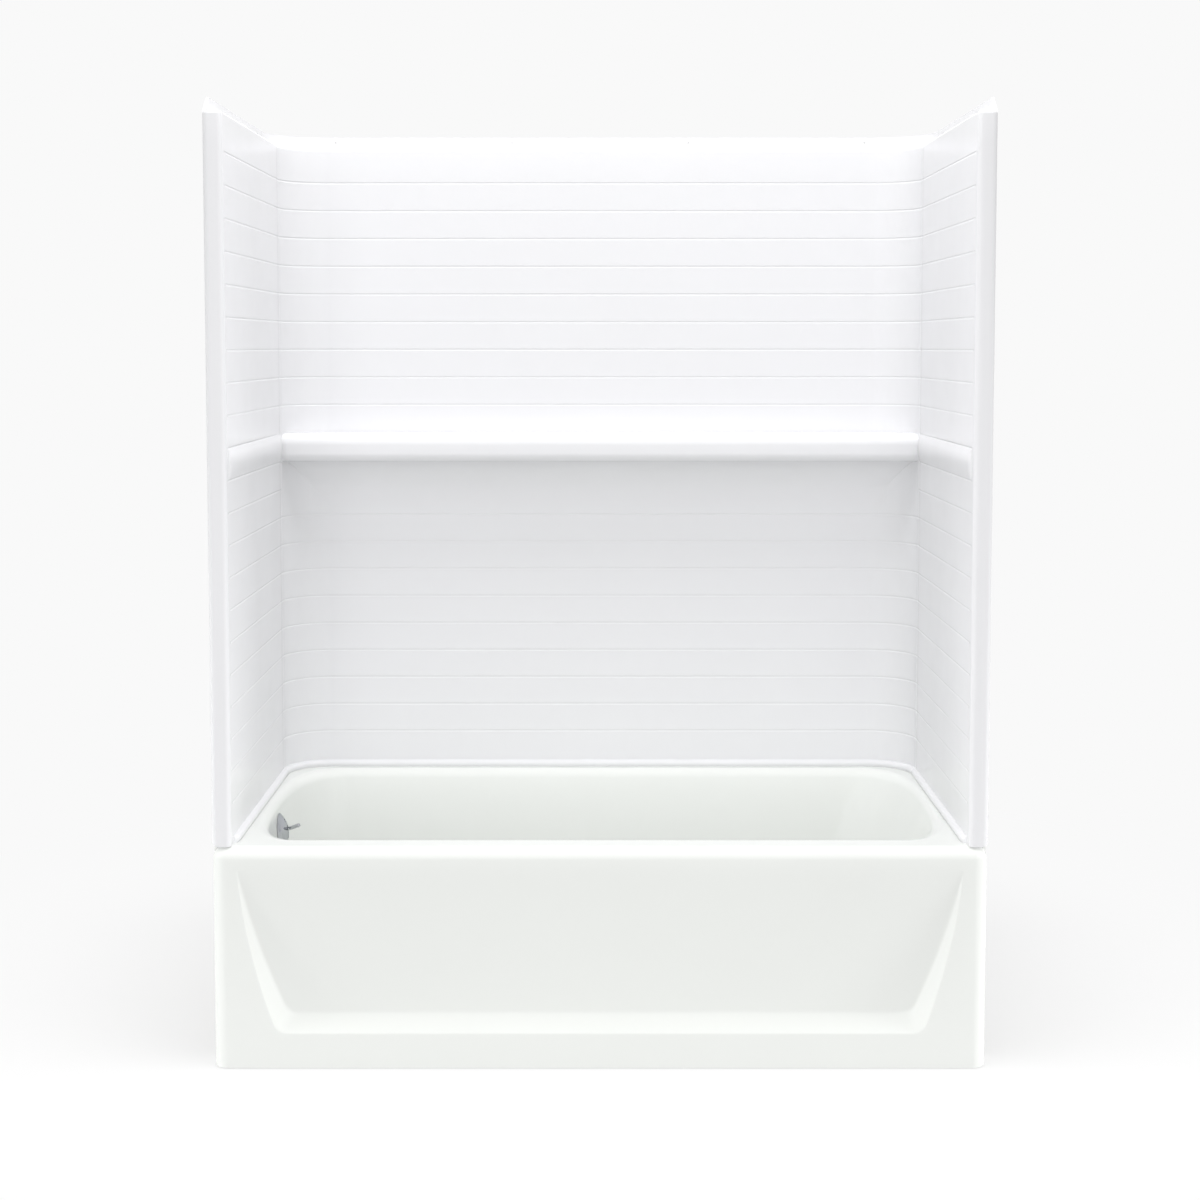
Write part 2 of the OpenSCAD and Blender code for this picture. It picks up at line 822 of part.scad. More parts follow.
// Rounds the lower outer corner of a front strip
foot_round_r = 14;
module foot_rounding() {
    difference() {
        translate([-foot_round_r, -foot_round_r])
            square(foot_round_r + eps);
        translate([-foot_round_r, -foot_round_r])
            circle(foot_round_r);
    }
}
module end_wall_right() {
    color("white") end_wall();
}
module end_wall_left() {
    color("white") mirror([1, 0, 0]) end_wall();
}

// Trip lever: its pivot lies behind the plate, and its inner arm ends over the overflow tube
pivot_in = 6;
pivot_x = overflow_x - pivot_in * cos(drain_lean);
pivot_z = overflow_h - pivot_in * sin(drain_lean);
tube_x = pivot_x - arm_l * (1 + cos(lever_half)) / 2;
lever_w = 6;
lever_gap = 0.4;
// Half thickness of the lever where it passes the plate, and its play at the slot's ends
lever_half_t = 3.5;
slot_play = 0.4;
// The plate leans with the wall, so the lever swings furthest below the plate's axis
slot_lean = lever_half + drain_lean;
slot_half = (pivot_in + plate_dome) * tan(slot_lean) + lever_half_t / cos(slot_lean) + slot_play;

// Outline of the plate's dome [radius, height], as a sheet
plate_edge = 1.5;
// The wall behind the plate is slightly curved, so the rim stands off this far in the middle
plate_gap = 0.9;
dome_rise = plate_dome - plate_edge;
dome_r = (plate_r * plate_r + dome_rise * dome_rise) / (2 * dome_rise);
dome_steps = 12;
function dome_height(r) = plate_dome - dome_r + sqrt(dome_r * dome_r - r * r);
dome_outline = concat(
    [[plate_r, plate_gap]],
    [for (i = [0:dome_steps]) let (r = plate_r * (1 - i / dome_steps)) [r, dome_height(r)]]
);
// How far below the dome's surface the screws' bosses end
dome_inset = 0.4;
plate_outline = concat(
    dome_outline,
    [for (i = [0:dome_steps]) let (r = (plate_r - plate_t) * i / dome_steps) [r, dome_height(r) - plate_t]],
    [[plate_r - plate_t, plate_gap]]
);
boss_in = 3;
boss_wall = 1.2;
plate_screw_r = 2.2;
screw_head_r = 4.4;
screw_head_t = 1.4;
// The screw heads' seats, just below the dome at their outer side
seat_drop = 0.6;
plate_seat = dome_height(plate_screw_d + screw_head_r + boss_wall) - seat_drop;
head_top = plate_seat + screw_head_t;
screw_crown = 0.8;
screw_slot_w = 1;
screw_slot_d = 0.3;
// Places children at the two screws of the overflow plate
module at_plate_screws() {
    at_overflow()
        for (z = [-plate_screw_d, plate_screw_d])
            translate([0, 0, z])
                children();
}
module lever_slot(x0, x1) {
    at_overflow()
        translate([x0, -lever_w / 2 - lever_gap, -slot_half])
            cube([x1 - x0, lever_w + 2 * lever_gap, 2 * slot_half]);
}

module overflow_plate() {
    color("gainsboro")
        difference() {
            union() {
                at_overflow()
                    rotate([0, 90, 0])
                        rotate_extrude()
                            polygon(plate_outline);
                intersection() {
                    at_plate_screws()
                        rod_x(screw_head_r + boss_wall, boss_in, plate_dome);
                    at_overflow()
                        rotate([0, 90, 0])
                            rotate_extrude()
                                polygon(concat([[0, 0]], [for (p = dome_outline) p - [0, dome_inset]]));
                }
            }
            lever_slot(-eps, plate_dome + eps);
            at_plate_screws() {
                rod_x(plate_screw_r + gap, 0, plate_dome);
                rod_x(screw_head_r + gap, plate_seat, plate_dome + eps);
            }
        }
}

module plate_screws() {
    color("silver")
        difference() {
            at_plate_screws() {
                rod_x(plate_screw_r, -screw_l, head_top);
                rod_x(screw_head_r, plate_seat, head_top);
                rod_x(screw_head_r - boss_wall, plate_seat, head_top + screw_crown);
            }
            at_plate_screws()
                translate([head_top - screw_slot_d, -screw_head_r, -screw_slot_w / 2])
                    cube([screw_slot_d + 2 * screw_crown, 2 * screw_head_r, screw_slot_w]);
        }
}

strap_t = 1.6;
strap_w = 16;
strap_l = 60;
lug_r = 4;
module lever_bracket() {
    lug_y = lever_w / 2 + lever_gap;
    color("silver")
        difference() {
            union() {
                at_overflow() {
                    translate([boss_in - strap_t, -strap_w / 2, -strap_l / 2])
                        cube([strap_t, strap_w, strap_l]);
                    for (y = [lug_y, -lug_y - strap_t])
                        translate([-pivot_in, y, -lug_r])
                            cube([pivot_in + boss_in, strap_t, 2 * lug_r]);
                    for (s = [-1, 1])
                        translate([-pivot_in, s * (lug_y + strap_t / 2), 0])
                            rod_y(lug_r, strap_t);
                }
            }
            lever_slot(0, boss_in + eps);
            at_plate_screws()
                rod_x(plate_screw_r + gap, 0, plate_dome);
            at_overflow()
                translate([-pivot_in, 0, 0])
                    rod_y(pivot_r + pin_play, 20);
        }
}
pin_head_t = 1.4;
module lever_pin() {
    l = lever_w + 2 * (lever_gap + strap_t);
    color("silver")
        translate([pivot_x, 0, pivot_z]) {
            rod_y(pivot_r, l + 2);
            translate([0, -l / 2 - gap / 3 - pin_head_t / 2, 0])
                rod_y(pivot_r + 1, pin_head_t);
        }
}

// The lever lies along X before it is swung up to its rest
fork_gap = 2.6;
eye_t = 2;
eye_play = 0.2;
hub_r = 4;
arm_half = 3;
fork_r = 3.2;
// The lever widens this far outside the plate
neck_out = 5;
neck_l = pivot_in + plate_dome + neck_out;
knob_r = 6;
tip_r = 4;
tip_rise = 1;
module at_lever() {
    translate([pivot_x, 0, pivot_z])
        rotate([0, -lever_half, 0])
            children();
}
module lever_top_view() {
    translate([0, -lever_w / 2])
        square([neck_l, lever_w]);
    hull() {
        translate([neck_l - 2, 0]) circle(lever_w / 2, $fn = 32);
        translate([handle_l - knob_r, 0]) circle(knob_r, $fn = 32);
    }
}
module lever_side_view() {
    hull() {
        circle(hub_r - 0.5, $fn = 32);
        translate([handle_l - tip_r, tip_rise]) circle(tip_r, $fn = 32);
    }
}
module trip_lever() {
    color("gainsboro")
        at_lever()
            difference() {
                union() {
                    intersection() {
                        translate([0, 0, -10])
                            linear_extrude(20)
                                lever_top_view();
                        rotate([90, 0, 0])
                            translate([0, 0, -10])
                                linear_extrude(20)
                                    lever_side_view();
                    }
                    rod_y(hub_r, lever_w);
                    translate([-arm_l, -lever_w / 2, -arm_half])
                        cube([arm_l, lever_w, 2 * arm_half]);
                    translate([-arm_l, 0, 0])
                        rod_y(fork_r, lever_w);
                }
                rod_y(pivot_r + pivot_play, 20);
                translate([-arm_l - 5, -fork_gap / 2, -5])
                    cube([18, fork_gap, 10]);
                translate([-arm_l, 0, 0])
                    rod_y(link_pin_r + pin_play, 20);
            }
}
module linkage_pin() {
    color("silver")
        at_lever()
            translate([-arm_l, 0, 0]) {
                rod_y(link_pin_r, lever_w + 2);
                for (s = [-1, 1])
                    translate([0, s * (lever_w / 2 + 0.6), 0])
                        rod_y(link_pin_r + 0.7, 0.8);
            }
}

// Linkage from the lever down to the plunger
eye_z = pivot_z - arm_l * sin(lever_half);
eye_slide = arm_l * (1 - cos(lever_half)) / 2 + 0.3;
strap_drop = 14;
eye_wall = 2.2;
sleeve_l = 20;
sleeve_r = 4.5;
link_split = 210;
module slotted(r, l) {
    for (x = [-eye_slide, eye_slide])
        translate([x, 0, 0])
            rod_y(r, l);
    translate([-eye_slide, -l / 2, -r])
        cube([2 * eye_slide, l, 2 * r]);
}
module upper_linkage() {
    color("goldenrod")
        difference() {
            union() {
                translate([tube_x, 0, eye_z]) {
                    slotted(link_pin_r + eye_play + eye_wall, eye_t);
                    translate([-rod_r, -eye_t / 2, -strap_drop])
                        cube([2 * rod_r, eye_t, strap_drop - link_pin_r - 1]);
                }
                translate([tube_x, 0, link_split]) {
                    cylinder(r = rod_r, h = eye_z - strap_drop + 1 - link_split);
                    cylinder(r = sleeve_r, h = sleeve_l);
                }
            }
            translate([tube_x, 0, eye_z])
                slotted(link_pin_r + eye_play, 10);
            translate([tube_x, 0, link_split - eps])
                cylinder(r = rod_r, h = sleeve_l - 4 + eps);
        }
}
nut_side_r = 4.5;
link_nut_h = 4;
module lock_nut(z) {
    translate([tube_x, 0, z])
        difference() {
            cylinder(r = nut_side_r, h = link_nut_h, $fn = 6);
            translate([0, 0, -eps])
                cylinder(r = rod_r, h = link_nut_h + 2 * eps);
        }
}
module lock_nuts() {
    color("goldenrod") {
        lock_nut(link_split - link_nut_h);
        lock_nut(plunger_low + plunger_l);
    }
}
module lower_linkage() {
    low = plunger_low + plunger_l - bridge_t;
    color("goldenrod")
        translate([tube_x, 0, low])
            cylinder(r = rod_r, h = link_split + sleeve_l - 5 - low);
}

// Waste tee: outlet below, plunger's seat, branch to the drain shoe, socket for the overflow tube
socket_r = tube_r + socket_play;
bore_r = tube_r - tube_wall;
cast_r = socket_r + cast_t;
tee_low = 12;
outlet_depth = 12;
seat_low = tee_low + outlet_depth;
seat_t = 3;
seat_r = 13.5;
tee_socket = waste_h + cast_r + socket_d;
tee_top = tee_socket + socket_d;
tee_branch = 25;
washer_t = 2;
washer_play = 0.4;
nut_lip = 3;
// How far a slip nut reaches over its fitting
nut_cover = nut_h - washer_t - nut_lip;
// Step between two crossing barrels of a casting, so that their surfaces don't coincide
seam_step = 0.2;
plunger_low = seat_low + seat_t + gap;
plunger_r = bore_r - plunger_play;
plunger_wall = 2.5;
bridge_t = 3;
bridge_half = 3;
module waste_tee() {
    color("goldenrod")
        translate([tube_x, 0, 0])
            difference() {
                union() {
                    translate([0, 0, tee_low])
                        cylinder(r = cast_r, h = tee_top - tee_low);
                    translate([0, 0, waste_h])
                        rod_x(cast_r - seam_step, 0, tee_branch + socket_d);
                }
                translate([0, 0, tee_low - eps])
                    cylinder(r = socket_r, h = seat_low - tee_low + eps);
                translate([0, 0, tee_low])
                    cylinder(r = seat_r, h = tee_top);
                translate([0, 0, seat_low + seat_t])
                    cylinder(r = bore_r, h = tee_top);
                translate([0, 0, tee_socket])
                    cylinder(r = socket_r, h = socket_d + eps);
                translate([0, 0, waste_h]) {
                    rod_x(bore_r - seam_step, 0, tee_branch + 1);
                    rod_x(socket_r, tee_branch, tee_branch + socket_d + eps);
                }
            }
}
module plunger() {
    color("goldenrod")
        translate([tube_x, 0, plunger_low])
            difference() {
                cylinder(r = plunger_r, h = plunger_l);
                translate([0, 0, -eps])
                    cylinder(r = plunger_r - plunger_wall, h = plunger_l - bridge_t + eps);
                for (s = [0, 180])
                    rotate([0, 0, s])
                        translate([-tube_r, bridge_half, plunger_l - bridge_t - eps])
                            cube([2 * tube_r, tube_r, bridge_t + 2 * eps]);
                cylinder(r = rod_r, h = plunger_l + eps);
            }
}

// A tube along +Z with its ends open
module pipe(r, wall, l) {
    difference() {
        cylinder(r = r, h = l);
        translate([0, 0, -eps])
            cylinder(r = r - wall, h = l + 2 * eps);
    }
}
gasket_r = 36;
gasket_t = 4;
mouth_r = 19;
flange_t = 5;
elbow_face = overflow_x - shell_t / cos(drain_lean) - gasket_t - gasket_r * tan(drain_lean);
elbow_low = pivot_z - gasket_r - nut_cover - 2;
screw_l = overflow_x - elbow_face + flange_t - 1;
module overflow_tube() {
    color("goldenrod")
        translate([tube_x, 0, tee_socket + gap])
            pipe(tube_r, tube_wall, elbow_low + socket_d - tee_socket - 2 * gap);
}
module overflow_elbow() {
    color("goldenrod")
        difference() {
            union() {
                translate([0, 0, pivot_z]) {
                    rod_x(gasket_r, elbow_face - flange_t, elbow_face);
                    rod_x(mouth_r + cast_t, tube_x, elbow_face);
                }
                translate([tube_x, 0, elbow_low])
                    cylinder(r = cast_r, h = pivot_z - elbow_low);
                translate([tube_x, 0, pivot_z])
                    sphere(cast_r);
            }
            translate([0, 0, pivot_z])
                rod_x(mouth_r, tube_x, elbow_face + eps);
            translate([tube_x, 0, pivot_z])
                sphere(mouth_r + 0.1);
            translate([tube_x, 0, elbow_low + 1])
                cylinder(r = bore_r, h = pivot_z - elbow_low);
            translate([tube_x, 0, elbow_low - eps])
                cylinder(r = socket_r, h = socket_d + eps);
            at_plate_screws()
                rod_x(plate_screw_r, -screw_l - gasket_r, 0);
        }
}
module overflow_gasket() {
    color("black")
        difference() {
            translate([0, 0, pivot_z])
                rod_x(gasket_r, elbow_face, overflow_x);
            translate([0, 0, pivot_z])
                rod_x(overflow_hole_r + 1, elbow_face - eps, overflow_x + eps);
            at_overflow()
                translate([-shell_t, -2 * gasket_r, -2 * gasket_r])
                    cube(4 * gasket_r);
        }
}

// Slip joints: each fitting's end, with the way it points
module at_slip_joints() {
    translate([tube_x, 0, tee_top]) children();
    translate([tube_x, 0, tee_low]) rotate([180, 0, 0]) children();
    translate([tube_x + tee_branch + socket_d, 0, waste_h]) rotate([0, 90, 0]) children();
    translate([tube_x, 0, elbow_low]) rotate([180, 0, 0]) children();
}
module slip_nuts() {
    color("gainsboro")
        at_slip_joints()
            difference() {
                translate([0, 0, -nut_cover])
                    cylinder(r = nut_r, h = nut_h, $fn = 8);
                translate([0, 0, -nut_cover - eps])
                    cylinder(r = cast_r + socket_play, h = nut_cover + washer_t + eps);
                cylinder(r = socket_r + washer_play + socket_play, h = nut_h);
            }
}
module slip_washers() {
    color("black")
        at_slip_joints()
            pipe(cast_r, cast_t - washer_play, washer_t);
}

// Drain shoe below the basin, with the strainer that clamps it through the floor
shoe_gasket_t = 3;
shoe_flange_r = 34;
shoe_flange_t = 5;
barrel_r = drain_hole_r - 2;
barrel_low = waste_h + bore_r + 1;
shoe_top = drain_under - shoe_gasket_t;
shoe_r = barrel_r + cast_t;
module waste_tube() {
    start = tube_x + tee_branch + gap;
    color("goldenrod")
        translate([start, 0, waste_h])
            rotate([0, 90, 0])
                pipe(tube_r, tube_wall, drain_x - shoe_r - start);
}
module drain_shoe() {
    low = waste_h - bore_r;
    color("goldenrod")
        translate([drain_x, 0, 0])
            difference() {
                union() {
                    translate([0, 0, shoe_top - shoe_flange_t])
                        cylinder(r = shoe_flange_r, h = shoe_flange_t);
                    translate([0, 0, low - cast_t])
                        cylinder(r = shoe_r, h = shoe_top - low + cast_t);
                    translate([0, 0, waste_h])
                        rod_x(cast_r, -shoe_r - socket_d, 0);
                }
                translate([0, 0, low])
                    cylinder(r = barrel_r + socket_play, h = shoe_top);
                translate([0, 0, waste_h]) {
                    rod_x(bore_r - seam_step, -shoe_r - 1, 0);
                    rod_x(tube_r + pin_play, -shoe_r - socket_d - eps, -shoe_r);
                }
            }
}
module shoe_gasket() {
    color("black")
        translate([drain_x, 0, shoe_top])
            pipe(shoe_flange_r, shoe_flange_r - drain_hole_r, shoe_gasket_t);
}
strainer_r = 37;
strainer_t = 2.5;
grid_r = 20;
grid_low = drain_seat_h - 3;
grid_ledge = 1.5;
cross_h = 4;
cross_w = 5.2;
strainer_screw_r = 2;
module strainer_body() {
    color("gainsboro")
        translate([drain_x, 0, 0])
            difference() {
                union() {
                    difference() {
                        union() {
                            translate([0, 0, drain_seat_h])
                                cylinder(r1 = strainer_r, r2 = strainer_r - 3, h = strainer_t);
                            translate([0, 0, barrel_low])
                                cylinder(r = barrel_r, h = drain_seat_h - barrel_low + 1);
                        }
                        translate([0, 0, barrel_low - eps])
                            cylinder(r = grid_r - grid_ledge, h = strainer_r);
                        translate([0, 0, grid_low])
                            cylinder(r = grid_r + gap, h = strainer_r);
                    }
                    for (a = [0, 90])
                        rotate([0, 0, a])
                            translate([-grid_r, -cross_w / 2, barrel_low])
                                cube([2 * grid_r, cross_w, cross_h]);
                }
                cylinder(r = strainer_screw_r, h = rim_h);
            }
}
grid_dome = 4;
grid_t = 1.2;
module strainer_grid() {
    color("gainsboro")
        translate([drain_x, 0, grid_low])
            difference() {
                rotate_extrude()
                    polygon([
                        [0, grid_dome], [8, grid_dome - 0.6], [15, grid_dome - 2], [grid_r, 1.4], [grid_r, 0],
                        [grid_r - 3, 0], [14, grid_dome - 2 - grid_t], [8, grid_dome - 0.6 - grid_t],
                        [0, grid_dome - grid_t]
                    ]);
                for (ring = [[8, 8, 1.6], [12.6, 12, 1.9]])
                    for (i = [0:ring[1] - 1])
                        rotate([0, 0, 360 * i / ring[1]])
                            translate([ring[0], 0, -eps])
                                cylinder(r = ring[2], h = 10);
                translate([0, 0, -eps])
                    cylinder(r = strainer_screw_r + gap, h = 10);
            }
}
module strainer_screw() {
    top = grid_low + grid_dome;
    color("silver")
        translate([drain_x, 0, 0])
            difference() {
                union() {
                    translate([0, 0, barrel_low - 2])
                        cylinder(r = strainer_screw_r, h = top - barrel_low + 2);
                    translate([0, 0, top])
                        cylinder(r = 2 * strainer_screw_r, h = 1.6);
                }
                translate([-5, -0.5, top + 0.8])
                    cube([10, 1, 2]);
            }
}

tub_shell();
apron_rail();
base_board();
base_feet();
foot_screws();
back_wall();
end_wall_left();
end_wall_right();
overflow_plate();
plate_screws();
lever_bracket();
lever_pin();
trip_lever();
linkage_pin();
upper_linkage();
lock_nuts();
lower_linkage();
plunger();
overflow_gasket();
overflow_elbow();
overflow_tube();
waste_tee();
waste_tube();
slip_nuts();
slip_washers();
drain_shoe();
shoe_gasket();
strainer_body();
strainer_grid();
strainer_screw();
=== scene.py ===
import math

import bmesh
import bpy
from mathutils import Matrix, Vector
from mathutils.geometry import delaunay_2d_cdt


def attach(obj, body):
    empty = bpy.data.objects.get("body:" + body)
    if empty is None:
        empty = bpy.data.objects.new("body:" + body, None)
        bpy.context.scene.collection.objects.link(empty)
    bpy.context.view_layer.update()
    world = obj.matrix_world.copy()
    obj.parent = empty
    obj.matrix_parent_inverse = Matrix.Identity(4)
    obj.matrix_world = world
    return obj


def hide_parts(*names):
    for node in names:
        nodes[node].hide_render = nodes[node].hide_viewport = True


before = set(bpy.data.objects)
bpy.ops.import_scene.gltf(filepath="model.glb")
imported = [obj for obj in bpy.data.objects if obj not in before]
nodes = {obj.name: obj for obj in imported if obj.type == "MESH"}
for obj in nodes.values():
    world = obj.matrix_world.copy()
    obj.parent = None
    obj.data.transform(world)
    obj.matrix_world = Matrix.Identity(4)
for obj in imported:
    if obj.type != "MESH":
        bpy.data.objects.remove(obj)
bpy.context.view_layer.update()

scene = bpy.context.scene
mm = 0.001
print("frame loaded:", len(nodes), "nodes")


# Nodes, materials and objects

def toLinear(hexColour):
    channels = [int(hexColour[i:i + 2], 16) / 255 for i in (1, 3, 5)]
    return [c / 12.92 if c <= 0.04045 else ((c + 0.055) / 1.055) ** 2.4 for c in channels] + [1.0]


def addNode(tree, kind, inputs=None, links=None, **settings):
    # one node with its settings, its fixed inputs and what feeds it: a socket, or a node for its first output
    node = tree.nodes.new(kind)
    for name, value in settings.items():
        setattr(node, name, value)
    for name, value in (inputs or {}).items():
        node.inputs[name].default_value = value
    for name, source in (links or {}).items():
        tree.links.new(getattr(source, "outputs", [source])[0], node.inputs[name])
    return node


def newMaterial(name):
    material = bpy.data.materials.new(name)
    material.use_nodes = True
    material.node_tree.nodes.clear()
    return material, material.node_tree


def newObject(name, data):
    made = bpy.data.objects.new(name, data)
    scene.collection.objects.link(made)
    return made


def newPiece(name, mesh, material, body, replaced, smoothAngle=30):
    mesh.materials.clear()  # a cut mesh brings an empty slot along
    mesh.materials.append(material)
    mesh.shade_smooth()
    mesh.set_sharp_from_angle(angle=math.radians(smoothAngle))
    piece = newObject(name, mesh)
    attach(piece, body)
    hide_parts(*replaced)
    return piece


# Closed shells, each a pair of points and faces in millimetres

def cosOf(degrees): return math.cos(math.radians(degrees))
def sinOf(degrees): return math.sin(math.radians(degrees))
def turnX(degrees): return Matrix.Rotation(math.radians(degrees), 4, "X")
def turnY(degrees): return Matrix.Rotation(math.radians(degrees), 4, "Y")
def turnZ(degrees): return Matrix.Rotation(math.radians(degrees), 4, "Z")
def shift(x, y, z): return Matrix.Translation((x, y, z))


def meshFrom(points, faces, unit=mm):
    mesh = bpy.data.meshes.new("mesh")
    mesh.from_pydata([[c * unit for c in p] for p in points], [], faces)
    return mesh


def joinShells(shells):
    points, faces = [], []
    for shellPoints, shellFaces in shells:
        first = len(points)
        points += shellPoints
        faces += [[first + i for i in face] for face in shellFaces]
    return points, faces


def outward(shell):
    # the shell with its faces turned outwards
    points, faces = shell
    corners = [Vector(p) for p in points]
    volume = sum(corners[f[0]].cross(corners[f[i]]).dot(corners[f[i + 1]])
                 for f in faces for i in range(1, len(f) - 1))
    return (points, faces) if volume > 0 else (points, [f[::-1] for f in faces])


def moved(shell, matrix):
    points, faces = shell
    return [list(matrix @ Vector(p)) for p in points], faces


def gridFaces(rows, columns, closed=False, first=0, flip=False):
    # quads between rows of points, counted row by row
    faces = []
    for j in range(rows - 1):
        low, high = first + j * columns, first + (j + 1) * columns
        for i in range(columns if closed else columns - 1):
            k = (i + 1) % columns
            face = [low + i, low + k, high + k, high + i]
            faces.append(face[::-1] if flip else face)
    return faces


def sweptShell(sections):
    # through equal outlines, capped at both ends
    n, last = len(sections[0]), (len(sections) - 1) * len(sections[0])
    faces = gridFaces(len(sections), n, closed=True)
    return [p for section in sections for p in section], faces + [list(range(n))[::-1], [last + i for i in range(n)]]


def prism(outline, low, high):
    # an anticlockwise outline [x, y] raised from low to high
    return sweptShell([[[x, y, z] for x, y in outline] for z in (low, high)])


def turned(profile, segments=72):
    # a closed or axis-to-axis outline [radius, height] revolved round Z; it runs anticlockwise, radius to the right
    points, faces, rings = [], [], []
    steps = [2 * math.pi * i / segments for i in range(segments)]
    for r, z in profile:
        onAxis = r < 1e-6
        rings.append([len(points)] if onAxis else list(range(len(points), len(points) + segments)))
        points += [[0, 0, z]] if onAxis else [[r * math.cos(a), r * math.sin(a), z] for a in steps]
    closed = len(rings[0]) > 1 or len(rings[-1]) > 1
    for a, b in zip(rings, rings[1:] + (rings[:1] if closed else [])):
        if len(a) == 1 and len(b) == 1:
            continue
        for i in range(segments):
            k = (i + 1) % segments
            if len(a) == 1:
                faces.append([a[0], b[k], b[i]])
            elif len(b) == 1:
                faces.append([a[i], a[k], b[0]])
            else:
                faces.append([a[i], a[k], b[k], b[i]])
    return points, faces


def rod(radius, start, end, axis="Z", segments=32):
    turnTo = {"Z": Matrix.Identity(4), "X": turnY(90), "Y": turnX(-90)}[axis]
    return moved(turned([(0, start), (radius, start), (radius, end), (0, end)], segments), turnTo)


def bow(x, y, reachX, reachY, angles):
    # points on an ellipse at the given degrees
    return [(x + reachX * cosOf(a), y + reachY * sinOf(a)) for a in angles]


def arc(x, y, radius, start, end, steps):
    return bow(x, y, radius, radius, [start + (end - start) * i / steps for i in range(steps + 1)])


def box(x0, y0, x1, y1):
    return [[x0, y0], [x1, y0], [x1, y1], [x0, y1]]


def roundedBox(halfX, halfY, r, steps=6):
    outline = []
    for signX, signY, start in ((1, 1, 0), (-1, 1, 90), (-1, -1, 180), (1, -1, 270)):
        outline += arc(signX * (halfX - r), signY * (halfY - r), r, start, start + 90, steps)
    return outline


# Meshes, joined, cut and finished

def evaluated(holder):
    return bpy.data.meshes.new_from_object(holder.evaluated_get(bpy.context.evaluated_depsgraph_get()))


def baked(mesh, kind, **settings):
    # the mesh after one modifier
    holder = newObject("holder", mesh)
    modifier = holder.modifiers.new(kind.lower(), kind)
    for name, value in settings.items():
        setattr(modifier, name, value)
    result = evaluated(holder)
    bpy.data.objects.remove(holder)
    return result


def eased(mesh, width, angle):
    # edges sharper than angle, in degrees, get a small round
    return baked(mesh, "BEVEL", width=width * mm, segments=2, limit_method="ANGLE",
                 angle_limit=math.radians(angle), use_clamp_overlap=True)


def combined(mesh, shells, operation="UNION"):
    # the mesh joined with, or cut by, closed shells or meshes one after another
    for shell in shells:
        tool = newObject("tool", meshFrom(*outward(shell)) if isinstance(shell, tuple) else shell)
        mesh = baked(mesh, "BOOLEAN", operation=operation, object=tool, solver="MANIFOLD")
        bpy.data.objects.remove(tool)
    return mesh


def cutWith(mesh, cutters):
    # the mesh with many closed shells taken out at once
    group = bpy.data.collections.new("cutters")
    tools = [newObject("cutter", meshFrom(*outward(cutter))) for cutter in cutters]
    for tool in tools:
        group.objects.link(tool)
    result = baked(mesh, "BOOLEAN", operation="DIFFERENCE", operand_type="COLLECTION", collection=group,
                   solver="MANIFOLD")
    for tool in tools:
        bpy.data.objects.remove(tool)
    bpy.data.collections.remove(group)
    return result


def merged(meshes, distance=1e-6):
    # the meshes as one, without doubled points
    grid = bmesh.new()
    for mesh in meshes:
        grid.from_mesh(mesh)
    bmesh.ops.remove_doubles(grid, verts=grid.verts, dist=distance)
    bmesh.ops.dissolve_degenerate(grid, dist=distance, edges=grid.edges)
    result = meshes[0] if len(meshes) == 1 else bpy.data.meshes.new("mesh")
    grid.to_mesh(result)
    grid.free()
    return result


def placed(mesh, matrix):
    # a mesh made in millimetres at the origin, put where matrix says
    local = matrix.copy()
    local.translation = local.translation * mm
    mesh.transform(local)
    return mesh


# Geometry trees

def newTree(name, sizes):
    # a tree with its named sizes, each with its first value, and its finish
    tree = bpy.data.node_groups.new(name, "GeometryNodeTree")
    face = tree.interface
    face.new_socket("Geometry", in_out="INPUT", socket_type="NodeSocketGeometry")
    for size, value in sizes.items():
        kind = "NodeSocketInt" if isinstance(value, int) else "NodeSocketFloat"
        face.new_socket(size, in_out="INPUT", socket_type=kind).default_value = value
    face.new_socket("Finish", in_out="INPUT", socket_type="NodeSocketMaterial")
    face.new_socket("Geometry", in_out="OUTPUT", socket_type="NodeSocketGeometry")
    return tree, addNode(tree, "NodeGroupInput")


def endTree(tree, entry, geometry):
    real = addNode(tree, "GeometryNodeRealizeInstances", links={"Geometry": geometry})
    made = addNode(tree, "GeometryNodeSetMaterial", links={"Geometry": real, "Material": entry.outputs["Finish"]})
    addNode(tree, "NodeGroupOutput", links={"Geometry": made})
    return tree


def withTree(mesh, tree, values):
    # the mesh after a geometry tree, its named inputs set first
    holder = newObject("holder", mesh)
    modifier = holder.modifiers.new("tree", "NODES")
    modifier.node_group = tree
    for item in tree.interface.items_tree:
        if item.in_out == "INPUT" and item.name in values:
            modifier[item.identifier] = values[item.name]
    result = evaluated(holder)
    holder.modifiers.remove(modifier)
    bpy.data.objects.remove(holder)
    return result


# Camera and stage

view = dict(
    eye=(0.0, -4.26, 1.42),  # in front of the bath, about the eye height of someone standing
    tilt=4.0,                # degrees down
    lens=60.0,
    lift=-0.095,             # the rest of the framing, so that uprights stay nearly upright
)
camera = newObject("camera", bpy.data.cameras.new("camera"))
scene.camera = camera
camera.location = view["eye"]
camera.rotation_euler = (math.radians(90 - view["tilt"]), 0, 0)
camera.data.lens = view["lens"]
camera.data.shift_y = view["lift"]
scene.view_settings.view_transform = "Standard"

